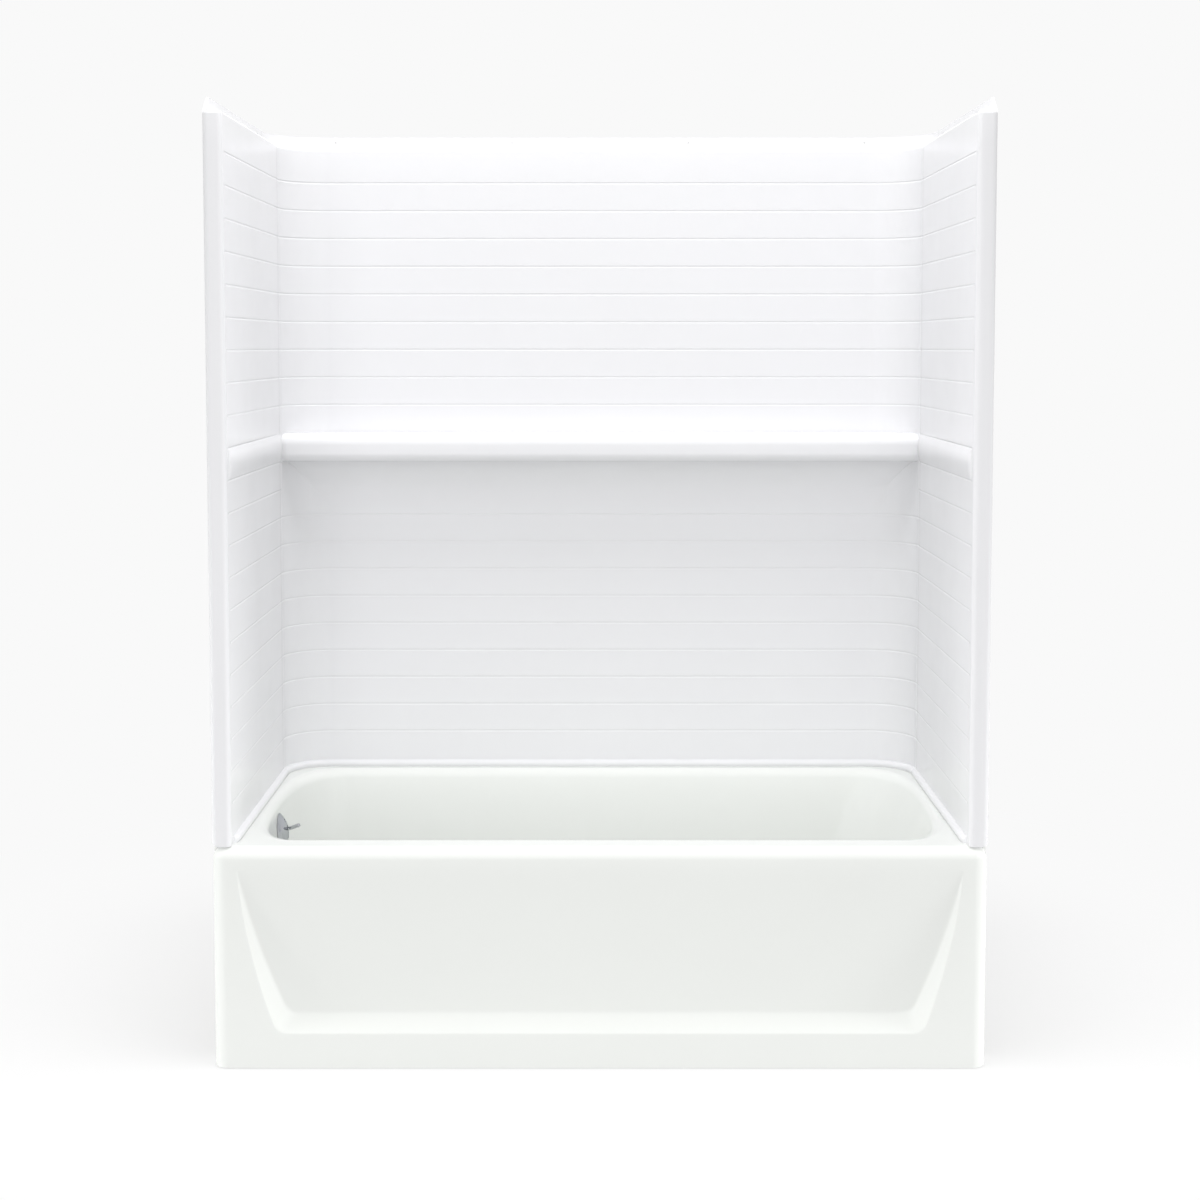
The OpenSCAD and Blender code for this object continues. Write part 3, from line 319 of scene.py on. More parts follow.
light = dict(
    sky=0.8,             # even light from all round
    backdrop="#F9F9F9",
    floor="#FAFAFA",
    floorRadius=9.0,
    floorDrop=-0.0015,   # just below the feet
    glow=0.62,           # how much of the floor glows on its own, so that it stays pale
    glowCast=0.3,        # share of that glow which the object gets
    shadowReach=(0.85, 2.1),  # the floor's own shade fades out between these distances
    lamps=dict(
        frontLamp=dict(place=(-0.4, -6.5, 1.6), aim=(0, 0, 0.8), size=4.0, watts=126.0),
        topLamp=dict(place=(0.0, -0.5, 4.6), aim=(0, 0, 0.5), size=1.5, watts=78.0),
        # low lamps from the sides that light the ledges of the apron's recess
        leftLamp=dict(place=(-3.6, -0.75, 0.25), aim=(0.5, -0.4, 0.2), size=0.8, watts=5.0, spread=60),
        rightLamp=dict(place=(3.6, -0.75, 0.25), aim=(-0.5, -0.4, 0.2), size=0.8, watts=6.5, spread=60),
    ),
)
scene.world = bpy.data.worlds.new("studio")
scene.world.use_nodes = True
tree = scene.world.node_tree
tree.nodes.clear()
rays = addNode(tree, "ShaderNodeLightPath")
seen = rays.outputs["Is Camera Ray"]
for ray in ("Is Glossy Ray", "Is Transmission Ray"):
    seen = addNode(tree, "ShaderNodeMath", operation="MAXIMUM", links={0: seen, 1: rays.outputs[ray]})
sky = addNode(tree, "ShaderNodeBackground", {"Color": (1, 1, 1, 1), "Strength": light["sky"]})
backdrop = addNode(tree, "ShaderNodeBackground", {"Color": toLinear(light["backdrop"]), "Strength": 1.0})
mix = addNode(tree, "ShaderNodeMixShader", links={0: seen, 1: sky, 2: backdrop})
addNode(tree, "ShaderNodeOutputWorld", links={"Surface": mix})


def softLamp(name, place, aim, size, watts, spread=180):
    lamp = newObject(name, bpy.data.lights.new(name, "AREA"))
    lamp.data.shape = "DISK"
    lamp.data.size = size
    lamp.data.energy = watts
    lamp.data.spread = math.radians(spread)
    lamp.visible_glossy = False  # so that the gloss shows no lamp
    lamp.location = place
    lamp.rotation_euler = (Vector(aim) - Vector(place)).to_track_quat("-Z", "Y").to_euler()


for lampName, setting in light["lamps"].items():
    softLamp(lampName, **setting)

floorPaint, tree = newMaterial("mattStudioFloor")
where = addNode(tree, "ShaderNodeTexCoord")
away = addNode(tree, "ShaderNodeVectorMath", operation="LENGTH", links={0: where.outputs["Object"]})
near, far = light["shadowReach"]
fade = addNode(tree, "ShaderNodeMapRange", {"From Min": near, "From Max": far, "To Min": light["glow"]},
               {"Value": away.outputs["Value"]}, interpolation_type="SMOOTHSTEP")
paint = addNode(tree, "ShaderNodeBsdfDiffuse", {"Color": toLinear(light["floor"])})
rays = addNode(tree, "ShaderNodeLightPath")
bounced = addNode(tree, "ShaderNodeMapRange", {"To Min": 1.0, "To Max": light["glowCast"]},
                  {"Value": rays.outputs["Is Diffuse Ray"]})
glow = addNode(tree, "ShaderNodeEmission", {"Color": toLinear(light["backdrop"])}, {"Strength": bounced})
mix = addNode(tree, "ShaderNodeMixShader", links={0: fade, 1: paint, 2: glow})
addNode(tree, "ShaderNodeOutputMaterial", links={"Surface": mix})
floorEdge = arc(0, 0, light["floorRadius"], 0, 356.25, 95)
floor = newObject("floor", meshFrom([[x, y, light["floorDrop"]] for x, y in floorEdge], [list(range(96))], unit=1))
floor.data.materials.append(floorPaint)
print("camera, lamps and floor set")


# Materials

def finish(name, colours, patchMm, roughness, grain, wave=(0, 0), metallic=0.0, ior=None, edge=None):
    # two close colours in soft patches, a roughness range that drifts with them, and a fine grain over a long wave;
    # grain and wave are each (size, depth) in millimetres
    material, tree = newMaterial(name)
    where = addNode(tree, "ShaderNodeTexCoord")
    patches = addNode(tree, "ShaderNodeTexNoise", {"Scale": 1000 / patchMm, "Detail": 3.0, "Roughness": 0.55},
                      {"Vector": where.outputs["Object"]})
    tint = addNode(tree, "ShaderNodeMix", {6: toLinear(colours[0]), 7: toLinear(colours[1])},
                   {0: patches}, data_type="RGBA")
    gloss = addNode(tree, "ShaderNodeMapRange",
                    {"From Min": 0.3, "From Max": 0.7, "To Min": roughness[0], "To Max": roughness[1]},
                    {"Value": patches})
    shader = addNode(tree, "ShaderNodeBsdfPrincipled", {"Metallic": metallic},
                     {"Base Color": tint.outputs[2], "Roughness": gloss})
    if ior:
        shader.inputs["IOR"].default_value = ior
    if edge:  # the metal's tone seen edge-on, where it would else turn white
        shader.inputs["Specular Tint"].default_value = toLinear(edge)
    bump = None
    for size, depth in (wave, grain):
        if depth:
            noise = addNode(tree, "ShaderNodeTexNoise", {"Scale": 1000 / size, "Detail": 2.0},
                            {"Vector": where.outputs["Object"]})
            bump = addNode(tree, "ShaderNodeBump", {"Strength": 1.0, "Distance": depth * mm},
                           {"Height": noise, **({"Normal": bump} if bump else {})})
    if bump:
        tree.links.new(bump.outputs[0], shader.inputs["Normal"])
    addNode(tree, "ShaderNodeOutputMaterial", links={"Surface": shader})
    return material


# compression-moulded composite, white through: hard gloss with a faint long wave, as thick moulded sheet has
bathComposite = finish("compressionMouldedWhite", ("#E9EBE8", "#E7E9E6"), 260, (0.13, 0.19),
                       (7, 0.004), (190, 0.12), ior=1.5)
# same sheet for the walls, a little cooler and silkier
wallComposite = finish("mouldedWallWhite", ("#E9E9EB", "#E7E7E9"), 300, (0.2, 0.27),
                       (7, 0.004), (240, 0.12), ior=1.5)
# polished chrome plate: near mirror, fine wipe marks only
chromePlate = finish("polishedChromePlate", ("#C3C5C8", "#BABCC0"), 30, (0.09, 0.15), (2.5, 0.002),
                     metallic=1.0, edge="#DADCDE")
# plumber's brass, drawn tube: satin with a warm drift from handling
drawnBrass = finish("drawnBrassTube", ("#C9A765", "#B7924F"), 40, (0.28, 0.4), (1.6, 0.01), metallic=1.0)
# sand-cast brass fittings: rougher and duller than the tube
castBrass = finish("sandCastBrass", ("#B9975A", "#A38247"), 22, (0.42, 0.58), (1.4, 0.09), metallic=1.0)
# die-cast slip nuts with a dull nickel coat
nickelNut = finish("nickelledSlipNut", ("#B5B2AB", "#A5A29A"), 18, (0.25, 0.36), (1.5, 0.02), metallic=1.0)
# zinc-plated steel small parts: pale grey with a fine satin
zincSteel = finish("zincPlatedSteel", ("#B9BCBE", "#A6A9AD"), 8, (0.25, 0.38), (0.8, 0.01), metallic=1.0)
# moulded rubber washers and gaskets: matt black with a dusty bloom
blackRubber = finish("mouldedRubber", ("#1F1F20", "#2B2B2C"), 14, (0.62, 0.75), (1.0, 0.03))
# recycled polypropylene feet: fine moulded texture
footPlastic = finish("mouldedPolypropylene", ("#3B3C3E", "#333436"), 30, (0.5, 0.6), (0.9, 0.05))
# pressed strand board under the floor: flaky, warm
strandBoard = finish("pressedStrandBoard", ("#B99763", "#8F6E41"), 24, (0.7, 0.82), (9, 0.5))


def woodGrain(name, pale, dark, ringMm, roughness):
    # sawn softwood: growth bands that run along X, slightly bent by noise
    material, tree = newMaterial(name)
    where = addNode(tree, "ShaderNodeTexCoord")
    stretch = addNode(tree, "ShaderNodeMapping", {"Scale": (0.06, 1, 1)}, {"Vector": where.outputs["Object"]})
    bands = addNode(tree, "ShaderNodeTexWave",
                    {"Scale": 1000 / ringMm / 6.28, "Distortion": 3.5, "Detail": 3.0, "Detail Scale": 1.2},
                    {"Vector": stretch}, wave_type="RINGS", rings_direction="X")
    ramp = addNode(tree, "ShaderNodeValToRGB", links={"Fac": bands.outputs["Fac"]})
    for stop, colour in zip(ramp.color_ramp.elements, (pale, dark)):
        stop.color = toLinear(colour)
    bump = addNode(tree, "ShaderNodeBump", {"Strength": 1.0, "Distance": 0.15 * mm}, {"Height": bands.outputs["Fac"]})
    shader = addNode(tree, "ShaderNodeBsdfPrincipled", {"Roughness": roughness},
                     {"Base Color": ramp.outputs["Color"], "Normal": bump})
    addNode(tree, "ShaderNodeOutputMaterial", links={"Surface": shader})
    return material


# planed pine rail: warm stripes, no varnish
pineRail = woodGrain("planedPine", "#D8BB8A", "#B48E58", 5, 0.6)
print("materials made")


# Bath: basin, deck, rolled front edge and apron as one moulded sheet

bath = dict(
    halfLength=762.0, halfDepth=406.5, deck=440.0, sheet=5.0,
    nose=24.0, corner=29.0, deckWidth=62.0, endDeckWidth=45.0, apronReturn=45.0, lip=14.0,
    floor=83.0, fall=0.6, roll=22.0,
    margin=3.0,                   # flat round the rim, so that the roll meets the deck without a crease
    leans=(5.0, 23.0, 8.0),       # drain end, backrest, sides
    fillets=(60.0, 130.0, 75.0),
    curveRim=114.0, curveFloor=135.0, squareness=2.6,
    rollSteps=12, wallSteps=10, filletSteps=18, endPoints=64, sidePoints=20,
)
drain = dict(x=-545.0, hole=26.0, seat=40.0, drop=3.0)
overflow = dict(drop=68.0, hole=28.0, x=-690.891)  # x where the drain end's wall is at that height
halfL, halfD, deckZ, thick = bath["halfLength"], bath["halfDepth"], bath["deck"], bath["sheet"]
openL, openD = halfL - bath["endDeckWidth"], halfD - bath["deckWidth"]
fallSlope = math.tan(math.radians(bath["fall"]))


def wallProfile(lean, fillet):
    # [inset, height] from the rim down to the floor
    line = arc(0, deckZ - bath["roll"], bath["roll"], 90, lean, bath["rollSteps"])
    x, z = line[-1]
    low = bath["floor"] + fillet * (1 - sinOf(lean))
    foot = x + (z - low) * math.tan(math.radians(lean))
    n = bath["wallSteps"]
    line += [(x + (foot - x) * i / n, z + (low - z) * i / n) for i in range(1, n)]
    return line + arc(foot + fillet * cosOf(lean), bath["floor"] + fillet, fillet, 180 + lean, 270, bath["filletSteps"])


profiles = [wallProfile(lean, fillet) for lean, fillet in zip(bath["leans"], bath["fillets"])]
basinRows = len(profiles[0])


def basinRing(row):
    share = row / (basinRows - 1)
    endL = bath["curveRim"] + (bath["curveFloor"] - bath["curveRim"]) * share
    sideIn, sideZ = profiles[2][row]
    power = 2 / bath["squareness"]

    def point(end, degrees):
        endIn, endZ = profiles[0 if end < 0 else 1][row]
        c, s = abs(cosOf(degrees)), sinOf(degrees)
        x = end * (openL - endIn - endL + endL * c ** power)
        y = (openD - sideIn) * math.copysign(abs(s) ** power, s)
        z = endZ * c * c + sideZ * (1 - c * c)
        low = (deckZ - z) / (deckZ - bath["floor"])
        return Vector((x, y, z + fallSlope * (x - drain["x"]) * low ** 4))

    n, m = bath["endPoints"], bath["sidePoints"]
    right, left = ([point(end, end * (180 * i / n - 90)) for i in range(n + 1)] for end in (1, -1))
    over = [right[-1].lerp(left[0], i / m) for i in range(1, m)]
    back = [left[-1].lerp(right[0], i / m) for i in range(1, m)]
    return right + over + left + back


rings = [basinRing(row) for row in range(basinRows)]
rim, around = rings[0], len(rings[0])
deckRing = []
for i in range(around):
    along = (rim[(i + 1) % around] - rim[i - 1]).normalized()
    deckRing.append(rim[i] + bath["margin"] * Vector((along.y, -along.x, 0)))
basinPoints = [p for ring in [deckRing] + rings for p in ring]
basinFaces = gridFaces(basinRows + 1, around, closed=True) + [[basinRows * around + i for i in range(around)]]

frontY = bath["corner"] - halfD
returnY = frontY + bath["apronReturn"]
baseX = halfL - bath["corner"]
apron = dict(
    top=395.0, foot=70.0, depth=26.0, ledge=33.0, sideLedge=32.0,
    side=50.0, sideSlope=0.094, sideCurve=0.000427,  # the outer edge's distance from the end grows downwards
    round=17.0,      # of the lower corners
    soften=2.6,      # where ledge and panel meet
    edge=1.1,        # where the ledge meets the face
    spread=15.0,     # height above the recess within which the lines of points spread out evenly
    deckStep=2.5,    # first row of points on the deck
)
apronRun = apron["top"] - apron["foot"]


def belowTop(z): return max(apron["top"] - z, 0)


def sideLine(z):
    t = min(belowTop(z), apronRun)
    return halfL - apron["side"] - apron["sideSlope"] * t - apron["sideCurve"] * t * t


def ledgeWidth(z):
    return apron["sideLedge"] * min(belowTop(z) / (apronRun - apron["ledge"]), 1)


def softMin(a, b, k):
    h = max(k - abs(a - b), 0) / k
    return min(a, b) - h * h * k / 4


def recessDepth(x, z):
    panel = apron["depth"] * (apron["top"] - z) / (apronRun - apron["ledge"])
    sideIn = (sideLine(z) - abs(x)) * apron["depth"] / apron["sideLedge"]
    footIn = (z - apron["foot"]) * apron["depth"] / apron["ledge"]
    depth = softMin(softMin(footIn, sideIn, apron["round"]), panel, apron["soften"])
    k = apron["edge"]
    return depth if depth > k else (0 if depth < -k else (depth + k) ** 2 / (4 * k))


# rows of points, [out from the base line, height], closer together where the recess ends below
apronLine = [(0.0, deckZ), (apron["deckStep"], deckZ), (bath["corner"] - bath["nose"], deckZ)]
apronLine += arc(bath["corner"] - bath["nose"], deckZ - bath["nose"], bath["nose"], 90, 0, 16)[1:]
heights = [410, 404, 398, 395, 392, 386]
heights += [386 - 4.5 * i for i in range(1, 61)] + [116 - 2 * i for i in range(1, 30)] + [54, 46, 30, 12, 4, 0]
apronLine += [(bath["corner"], float(z)) for z in heights]
apronLine += [(bath["corner"] - 4, 0.0), (bath["corner"] - bath["lip"], 0.0)]

# across the front, the lines of points follow the recess's side and the inner edge of its ledge
ledgeShares = (0, 0.04, 0.1, 0.18, 0.26, 0.34, 0.42, 0.5, 0.58, 0.66, 0.74, 0.82, 0.9, 0.96, 1)
panelSteps = (1.2, 3, 6, 9, 12, 16, 22, 32)
ledgeStops = [("out", d) for d in (12, 6, 3, 1.2)] + [("ledge", share) for share in ledgeShares]
ledgeStops += [("panel", d) for d in panelSteps] + [("middle", i / 16) for i in range(1, 17)]


def stopX(stop, z):
    kind, value = stop
    edge, width = sideLine(z), max(ledgeWidth(z), 6)
    if kind == "out":
        return edge + value
    if kind == "ledge":
        return edge - width * value
    if kind == "panel":
        return edge - width - value
    return (edge - width - panelSteps[-1]) * (1 - value)


# one column of points: base y, direction x, direction y, base x or a stop with its side and its even place
sideReturn = [(-baseX, returnY - bath["apronReturn"] * i / 4) for i in range(4)]
leftColumns = [(y, -1, 0, x) for x, y in sideReturn]
leftColumns += [(frontY, -cosOf(90 * i / 14), -sinOf(90 * i / 14), -baseX) for i in range(15)]
frontStops = [(stop, -1) for stop in ledgeStops] + [(stop, 1) for stop in ledgeStops[-2::-1]]
columns = leftColumns + [(frontY, 0, -1, (stop, side, baseX * (2 * (i + 1) / (len(frontStops) + 1) - 1)))
                         for i, (stop, side) in enumerate(frontStops)]
columns += [(y, -dx, dy, -x) for y, dx, dy, x in leftColumns[::-1]]


def columnX(column, z):
    if isinstance(column[3], float):
        return column[3]
    stop, side, even = column[3]
    share = min(1, max(0, (z - apron["top"]) / apron["spread"]))
    return side * stopX(stop, z) * (1 - share) + even * share


apronPoints = []
for out, z in apronLine:
    for column in columns:
        y, dx, dy = column[:3]
        x = columnX(column, z)
        dent = recessDepth(x, z) if dy == -1 and z < deckZ - bath["nose"] and out == bath["corner"] else 0
        apronPoints.append(Vector((x + dx * out, y + dy * (out - dent), z)))
apronFaces = gridFaces(len(apronLine), len(columns), flip=True)

# deck between the basin's margin and the edges
deckEnd = [(baseX + apron["deckStep"], returnY), (halfL - bath["nose"], returnY), (halfL, returnY), (halfL, halfD)]
outline = sideReturn + [(columnX(column, deckZ), column[0]) for column in columns if column[2] == -1]
outline += [(-x, y) for x, y in sideReturn[::-1]] + deckEnd + [(-x, y) for x, y in deckEnd[::-1]]
flat = [Vector((x, y, deckZ)) for x, y in outline] + deckRing
loops = [list(range(len(outline))), list(range(len(outline), len(flat)))]
plan = delaunay_2d_cdt([p.to_2d() for p in flat], [], loops, 2, 1e-4)
deckFaces = []
for face in plan[2]:
    a, b, c = (plan[3][i][0] for i in face)
    deckFaces.append([a, b, c] if (flat[b] - flat[a]).cross(flat[c] - flat[a]).z > 0 else [c, b, a])

points, faces = joinShells([(basinPoints, basinFaces), (apronPoints, apronFaces), (flat, deckFaces)])
sheetMesh = merged([meshFrom(points, faces)], 2e-6)
sheetMesh = baked(sheetMesh, "SOLIDIFY", thickness=thick * mm, offset=-1, use_even_offset=True)
print("bath sheet:", len(sheetMesh.polygons), "faces")

# boss and seat of the drain, tile flange with its coves, then everything that is cut
atDrain = shift(drain["x"], 0, 0)
seatR, seatZ, bossTop = drain["seat"], bath["floor"] - drain["drop"], bath["floor"] - thick / 2
bossR = seatR + thick
boss = [(0, seatZ - thick), (bossR - 1, seatZ - thick), (bossR, seatZ - 4), (bossR, bossTop), (0, bossTop)]
seatCut = [(0, 60), (drain["hole"], 60), (drain["hole"], seatZ - 1), (drain["hole"] + 1, seatZ), (seatR, seatZ),
           (seatR, seatZ + 1.4), (seatR + 0.5, seatZ + 2.4), (seatR + 1.6, seatZ + 2.95),
           (seatR + 4, seatZ + 3.3), (seatR + 4, 100), (0, 100)]
boss, seatCut = (moved(turned(profile, 96), atDrain) for profile in (boss, seatCut))

tileFlange = dict(height=46.0, low=416.0, cove=8.0, topRound=1.6,
                  coveFull=24.0,  # height of the flange from which the cove has its full size
                  fade=((-365.5, 434.0), (-347.5, 452.9), (-323.5, 479.6), (-305.5, 486.0)))
holes = dict(radius=2.5, reach=9, backX=(-609.6, -203.2, 203.2, 609.6), sideY=(-203.2, 203.2), tile=474.0, wall=1888.0)
flangeTop = deckZ + tileFlange["height"]


def smoothLine(stops, steps):
    # a soft line through the stops, from Catmull-Rom pieces
    line = []
    for i in range(len(stops) - 1):
        near = [stops[min(max(i + k, 0), len(stops) - 1)] for k in (-1, 0, 1, 2)]
        for j in range(steps):
            t = j / steps
            line.append(tuple(0.5 * (2 * b + (c - a) * t + (2 * a - 5 * b + 4 * c - d) * t * t
                                     + (3 * b - a - 3 * c + d) * t ** 3) for a, b, c, d in zip(*near)))
    return line + [stops[-1]]


def flangeSection(top):
    # [depth from the back, height]: cove below, rounded top
    low, under, cove, r = tileFlange["low"], deckZ - thick / 2, tileFlange["cove"], tileFlange["topRound"]
    line = [(0, low), (thick, low), (thick, under), (thick + cove + 2, under)]
    line += arc(thick + cove, deckZ + cove, cove, -90, -180, 10)
    return line + arc(thick - r, top - r, r, 0, 90, 4) + arc(r, top - r, r, 90, 180, 4)


def sideFlange(end):
    sections = []
    for y, z in sideStops:
        top = max(z, deckZ + 1.0)
        share = min(1, (top - deckZ) / tileFlange["coveFull"])
        section = []
        for d, h in flangeSection(top):
            if d > thick:  # the cove fades with the flange
                d, h = thick + (d - thick) * share, h if h <= deckZ else deckZ + (h - deckZ) * share
            section.append((end * (halfL - d), y, h))
        sections.append(section)
    return sweptShell(sections if end < 0 else sections[::-1])


def screwHole(x, y, z, axis):
    return moved(rod(holes["radius"], -holes["reach"], holes["reach"], axis), shift(x, y, z))


backFlange = sweptShell([[(x, halfD - d, z) for d, z in flangeSection(flangeTop)] for x in (-halfL, halfL)])
sideStops = smoothLine(tileFlange["fade"], 6) + [(-200.0, flangeTop), (0.0, flangeTop), (halfD, flangeTop)]
atOverflow = shift(overflow["x"], 0, deckZ - overflow["drop"]) @ turnY(-bath["leans"][0])
cuts = [seatCut, moved(rod(overflow["hole"], -20, 20, "X", 72), atOverflow)]
cuts += [screwHole(x, halfD, holes["tile"], "Y") for x in holes["backX"]]
cuts += [screwHole(end * halfL, y, holes["tile"], "X") for end in (-1, 1) for y in holes["sideY"]]
bathMesh = cutWith(combined(sheetMesh, [boss, backFlange, sideFlange(-1), sideFlange(1)]), cuts)
newPiece("bathShell", merged([bathMesh]), bathComposite, "bath", ["tub_shell"], smoothAngle=32)
print("bath shell:", len(bathMesh.polygons), "faces")


# Walls: one moulded sheet each, swept along the room's plan

wall = dict(
    height=1460.0, shoulder=1430.0, shoulderRound=6.0, sheet=5.0, face=38.0, corner=100.0,
    beadWidth=11.0, beadHeight=15.0, beadTip=24.0,
    bandDepth=4.2, beadTuck=0.42,
    stripSet=8.0, stripBack=28.0, stripInner=10.0, stripOuter=11.0, stripFoot=14.0, flangeRun=50.0,
    cornerSteps=20,
)
courses = dict(first=83.0, pitch=63.5, width=6.0, depth=0.8, plain=14, last=20, shelfCourse=10)
shelf = dict(depth=96.0, nose=26.0, lip=19.0, drip=3.0, cove=112.0, steps=24)
ribs = dict(thickness=4.0, tip=1.2, low=66.0)
seam = dict(ease=0.35, stops=(0, 0.35, 0.7, 1.2), width=25.0, sheet=5.0, low=20.0, tongue=2.0)
faceX, faceY = halfL - wall["face"], halfD - wall["face"]
seamY = faceY - wall["corner"]
straight = faceX - wall["corner"]
stripY = wall["stripSet"] - halfD
shelfLow = courses["first"] + courses["pitch"] * courses["shelfCourse"]
shelfTop = shelfLow + courses["pitch"]
panelBack = wall["face"] - wall["sheet"]
beadMid = 0.4 * wall["beadHeight"]  # where the bead stands out most


def beadOut(z):
    # how far the bead at the foot stands out at a height
    s = (z - beadMid) / (wall["beadHeight"] - beadMid)
    return wall["beadWidth"] * (math.sqrt(max(0, 1 - s * s)) if s > 0 else 1 - wall["beadTuck"] * s * s)


def bandOut(z):
    # the course level with the shelf swells gently along the end walls
    t = (z - shelfLow) / courses["pitch"]
    return wall["bandDepth"] * math.sin(math.pi * t) if 0 < t < 1 else 0.0


def wallSection(band):
    # [depth from the studs, height above the deck, how far bead or band stands out, how much groove] up the room side
    face, sheet = wall["face"], wall["sheet"]
    beadStops = [0, 1] + [beadMid + (wall["beadHeight"] - beadMid) * sinOf(-20 + 110 * i / 16) for i in range(1, 17)]
    rows = [(face, z, beadOut(z), 0) for z in beadStops] + [(face, wall["beadHeight"] + 4, 0, 0)]
    for n in range(courses["last"] + 1):
        atShelf = abs(n - courses["shelfCourse"])
        if not band and atShelf < 2:
            continue
        z = courses["first"] + n * courses["pitch"]
        steps = [(courses["width"] * f, 1) for f in (-0.6, -0.5, -0.4, -0.28, -0.14, 0, 0.14, 0.28, 0.4, 0.5, 0.6)]
        steps = [(-courses["plain"], 0)] + steps + [(courses["plain"], 0)]
        if atShelf == 0:
            steps += [(step, 0) for step in range(19, 46, 5)]
        rows += [(face, z + step, bandOut(z + step) if band else 0.0, cut) for step, cut in steps]
    r, z = wall["shoulderRound"], wall["shoulder"]
    rows += [(u, v, 0, 0) for u, v in arc(face - r, z - r, r, 0, 90, 9)]
    flange = ((sheet + 2, z), (sheet + 0.5, z + 0.6), (sheet, z + 2), (sheet, wall["height"]))
    return rows + [(u, v, 0, 0) for u, v in flange]


def sweptSheet(rows, columns):
    # rows of wallSection along columns, each (base, direction into the room, bead share, groove share, set back,
    # flange share)
    points, groove, into = [], [], []
    for u, z, out, cut in rows:
        for base, room, outShare, grooveShare, back, flangeShare in columns:
            d = u - back + out * outShare
            high = z if z <= wall["shoulder"] else wall["shoulder"] + (z - wall["shoulder"]) * flangeShare
            points.append([base[0] + room[0] * d, base[1] + room[1] * d, deckZ + high])
            groove.append(cut * grooveShare)
            into.append((-room[0], -room[1], 0.0))
    return points, gridFaces(len(rows), len(columns)), groove, into


def flipped(part): return part[0], [f[::-1] for f in part[1]], *part[2:]


# cuts the course grooves into the points that carry a groove share
tree, entry = newTree("courseGrooves", {
    "First Groove": (courses["first"] + deckZ) * mm, "Course Height": courses["pitch"] * mm,
    "Groove Width": courses["width"] * mm, "Groove Depth": courses["depth"] * mm})
given = entry.outputs
where = addNode(tree, "GeometryNodeInputPosition")
split = addNode(tree, "ShaderNodeSeparateXYZ", links={0: where})
above = addNode(tree, "ShaderNodeMath", operation="SUBTRACT", links={0: split.outputs["Z"], 1: given["First Groove"]})
count = addNode(tree, "ShaderNodeMath", operation="DIVIDE", links={0: above, 1: given["Course Height"]})
whole = addNode(tree, "ShaderNodeMath", operation="ROUND", links={0: count})
off = addNode(tree, "ShaderNodeMath", operation="SUBTRACT", links={0: count, 1: whole})
away = addNode(tree, "ShaderNodeMath", operation="ABSOLUTE", links={0: off})
span = addNode(tree, "ShaderNodeMath", operation="MULTIPLY", links={0: away, 1: given["Course Height"]})
half = addNode(tree, "ShaderNodeMath", {1: 0.5}, operation="MULTIPLY", links={0: given["Groove Width"]})
sink = addNode(tree, "ShaderNodeMapRange", {"From Min": 0.0, "To Max": 0.0}, interpolation_type="SMOOTHSTEP",
               links={"Value": span, "From Max": half, "To Min": given["Groove Depth"]})
share = addNode(tree, "GeometryNodeInputNamedAttribute", {"Name": "grooveShare"}, data_type="FLOAT")
into = addNode(tree, "GeometryNodeInputNamedAttribute", {"Name": "intoWall"}, data_type="FLOAT_VECTOR")
depth = addNode(tree, "ShaderNodeMath", operation="MULTIPLY", links={0: sink, 1: share.outputs["Attribute"]})
move = addNode(tree, "ShaderNodeVectorMath", operation="SCALE", links={0: into.outputs["Attribute"], "Scale": depth})
carved = addNode(tree, "GeometryNodeSetPosition", links={"Geometry": given["Geometry"], "Offset": move})
courseGrooves = endTree(tree, entry, carved)


def wallSheet(parts):
    # the moulded sheet of one wall: skin, thickness, then grooves on the room side only
    mesh = meshFrom(*joinShells([part[:2] for part in parts]))
    groove, into = ([value for part in parts for value in part[k]] for k in (2, 3))
    mesh.attributes.new("grooveShare", "FLOAT", "POINT").data.foreach_set("value", groove)
    mesh.attributes.new("intoWall", "FLOAT_VECTOR", "POINT").data.foreach_set("vector", [c for d in into for c in d])
    mesh = merged([mesh], 2e-5)
    skin = len(mesh.vertices)
    mesh = baked(mesh, "SOLIDIFY", thickness=wall["sheet"] * mm, offset=-1, use_even_offset=True)
    share = mesh.attributes["grooveShare"].data
    for i in range(skin, len(mesh.vertices)):
        share[i].value = 0
    carved = withTree(mesh, courseGrooves, {"Finish": wallComposite})
    for name in ("grooveShare", "intoWall"):
        carved.attributes.remove(carved.attributes[name])
    return carved


def seamEase(distance):
    # the moulded edge at a seam is eased by a third of a millimetre
    return seam["ease"] * max(0, 1 - distance / seam["stops"][-1]) ** 2


print("wall helpers ready")

# back wall, both corners included
cornerReach = wall["corner"] + wall["face"]
cornerRun = wall["corner"] * math.pi / 2
rightHalf = []
for distance in [*seam["stops"]] + [cornerRun * i / wall["cornerSteps"] for i in range(1, wall["cornerSteps"] + 1)]:
    c, s = math.cos(distance / wall["corner"]), math.sin(distance / wall["corner"])
    rightHalf.append(((straight + cornerReach * c, seamY + cornerReach * s), (-c, -s), 1, 1, seamEase(distance), 1))
backColumns = rightHalf + [((x, halfD), (0, -1), 1, 1, 0, 1) for x in (400, 200, 0, -200, -400)]
backColumns += [((-x, y), (-dx, dy), *rest) for (x, y), (dx, dy), *rest in rightHalf[::-1]]
backSheet = wallSheet([flipped(sweptSheet(wallSection(False), backColumns))])
print("back wall sheet:", len(backSheet.polygons), "faces")


def roomHalf(y, out):
    # half the room's width at y, grown by out into the sheet
    reach = wall["corner"] + out
    return faceX + out if y <= seamY else straight + math.sqrt(max(0, reach * reach - (y - seamY) ** 2))


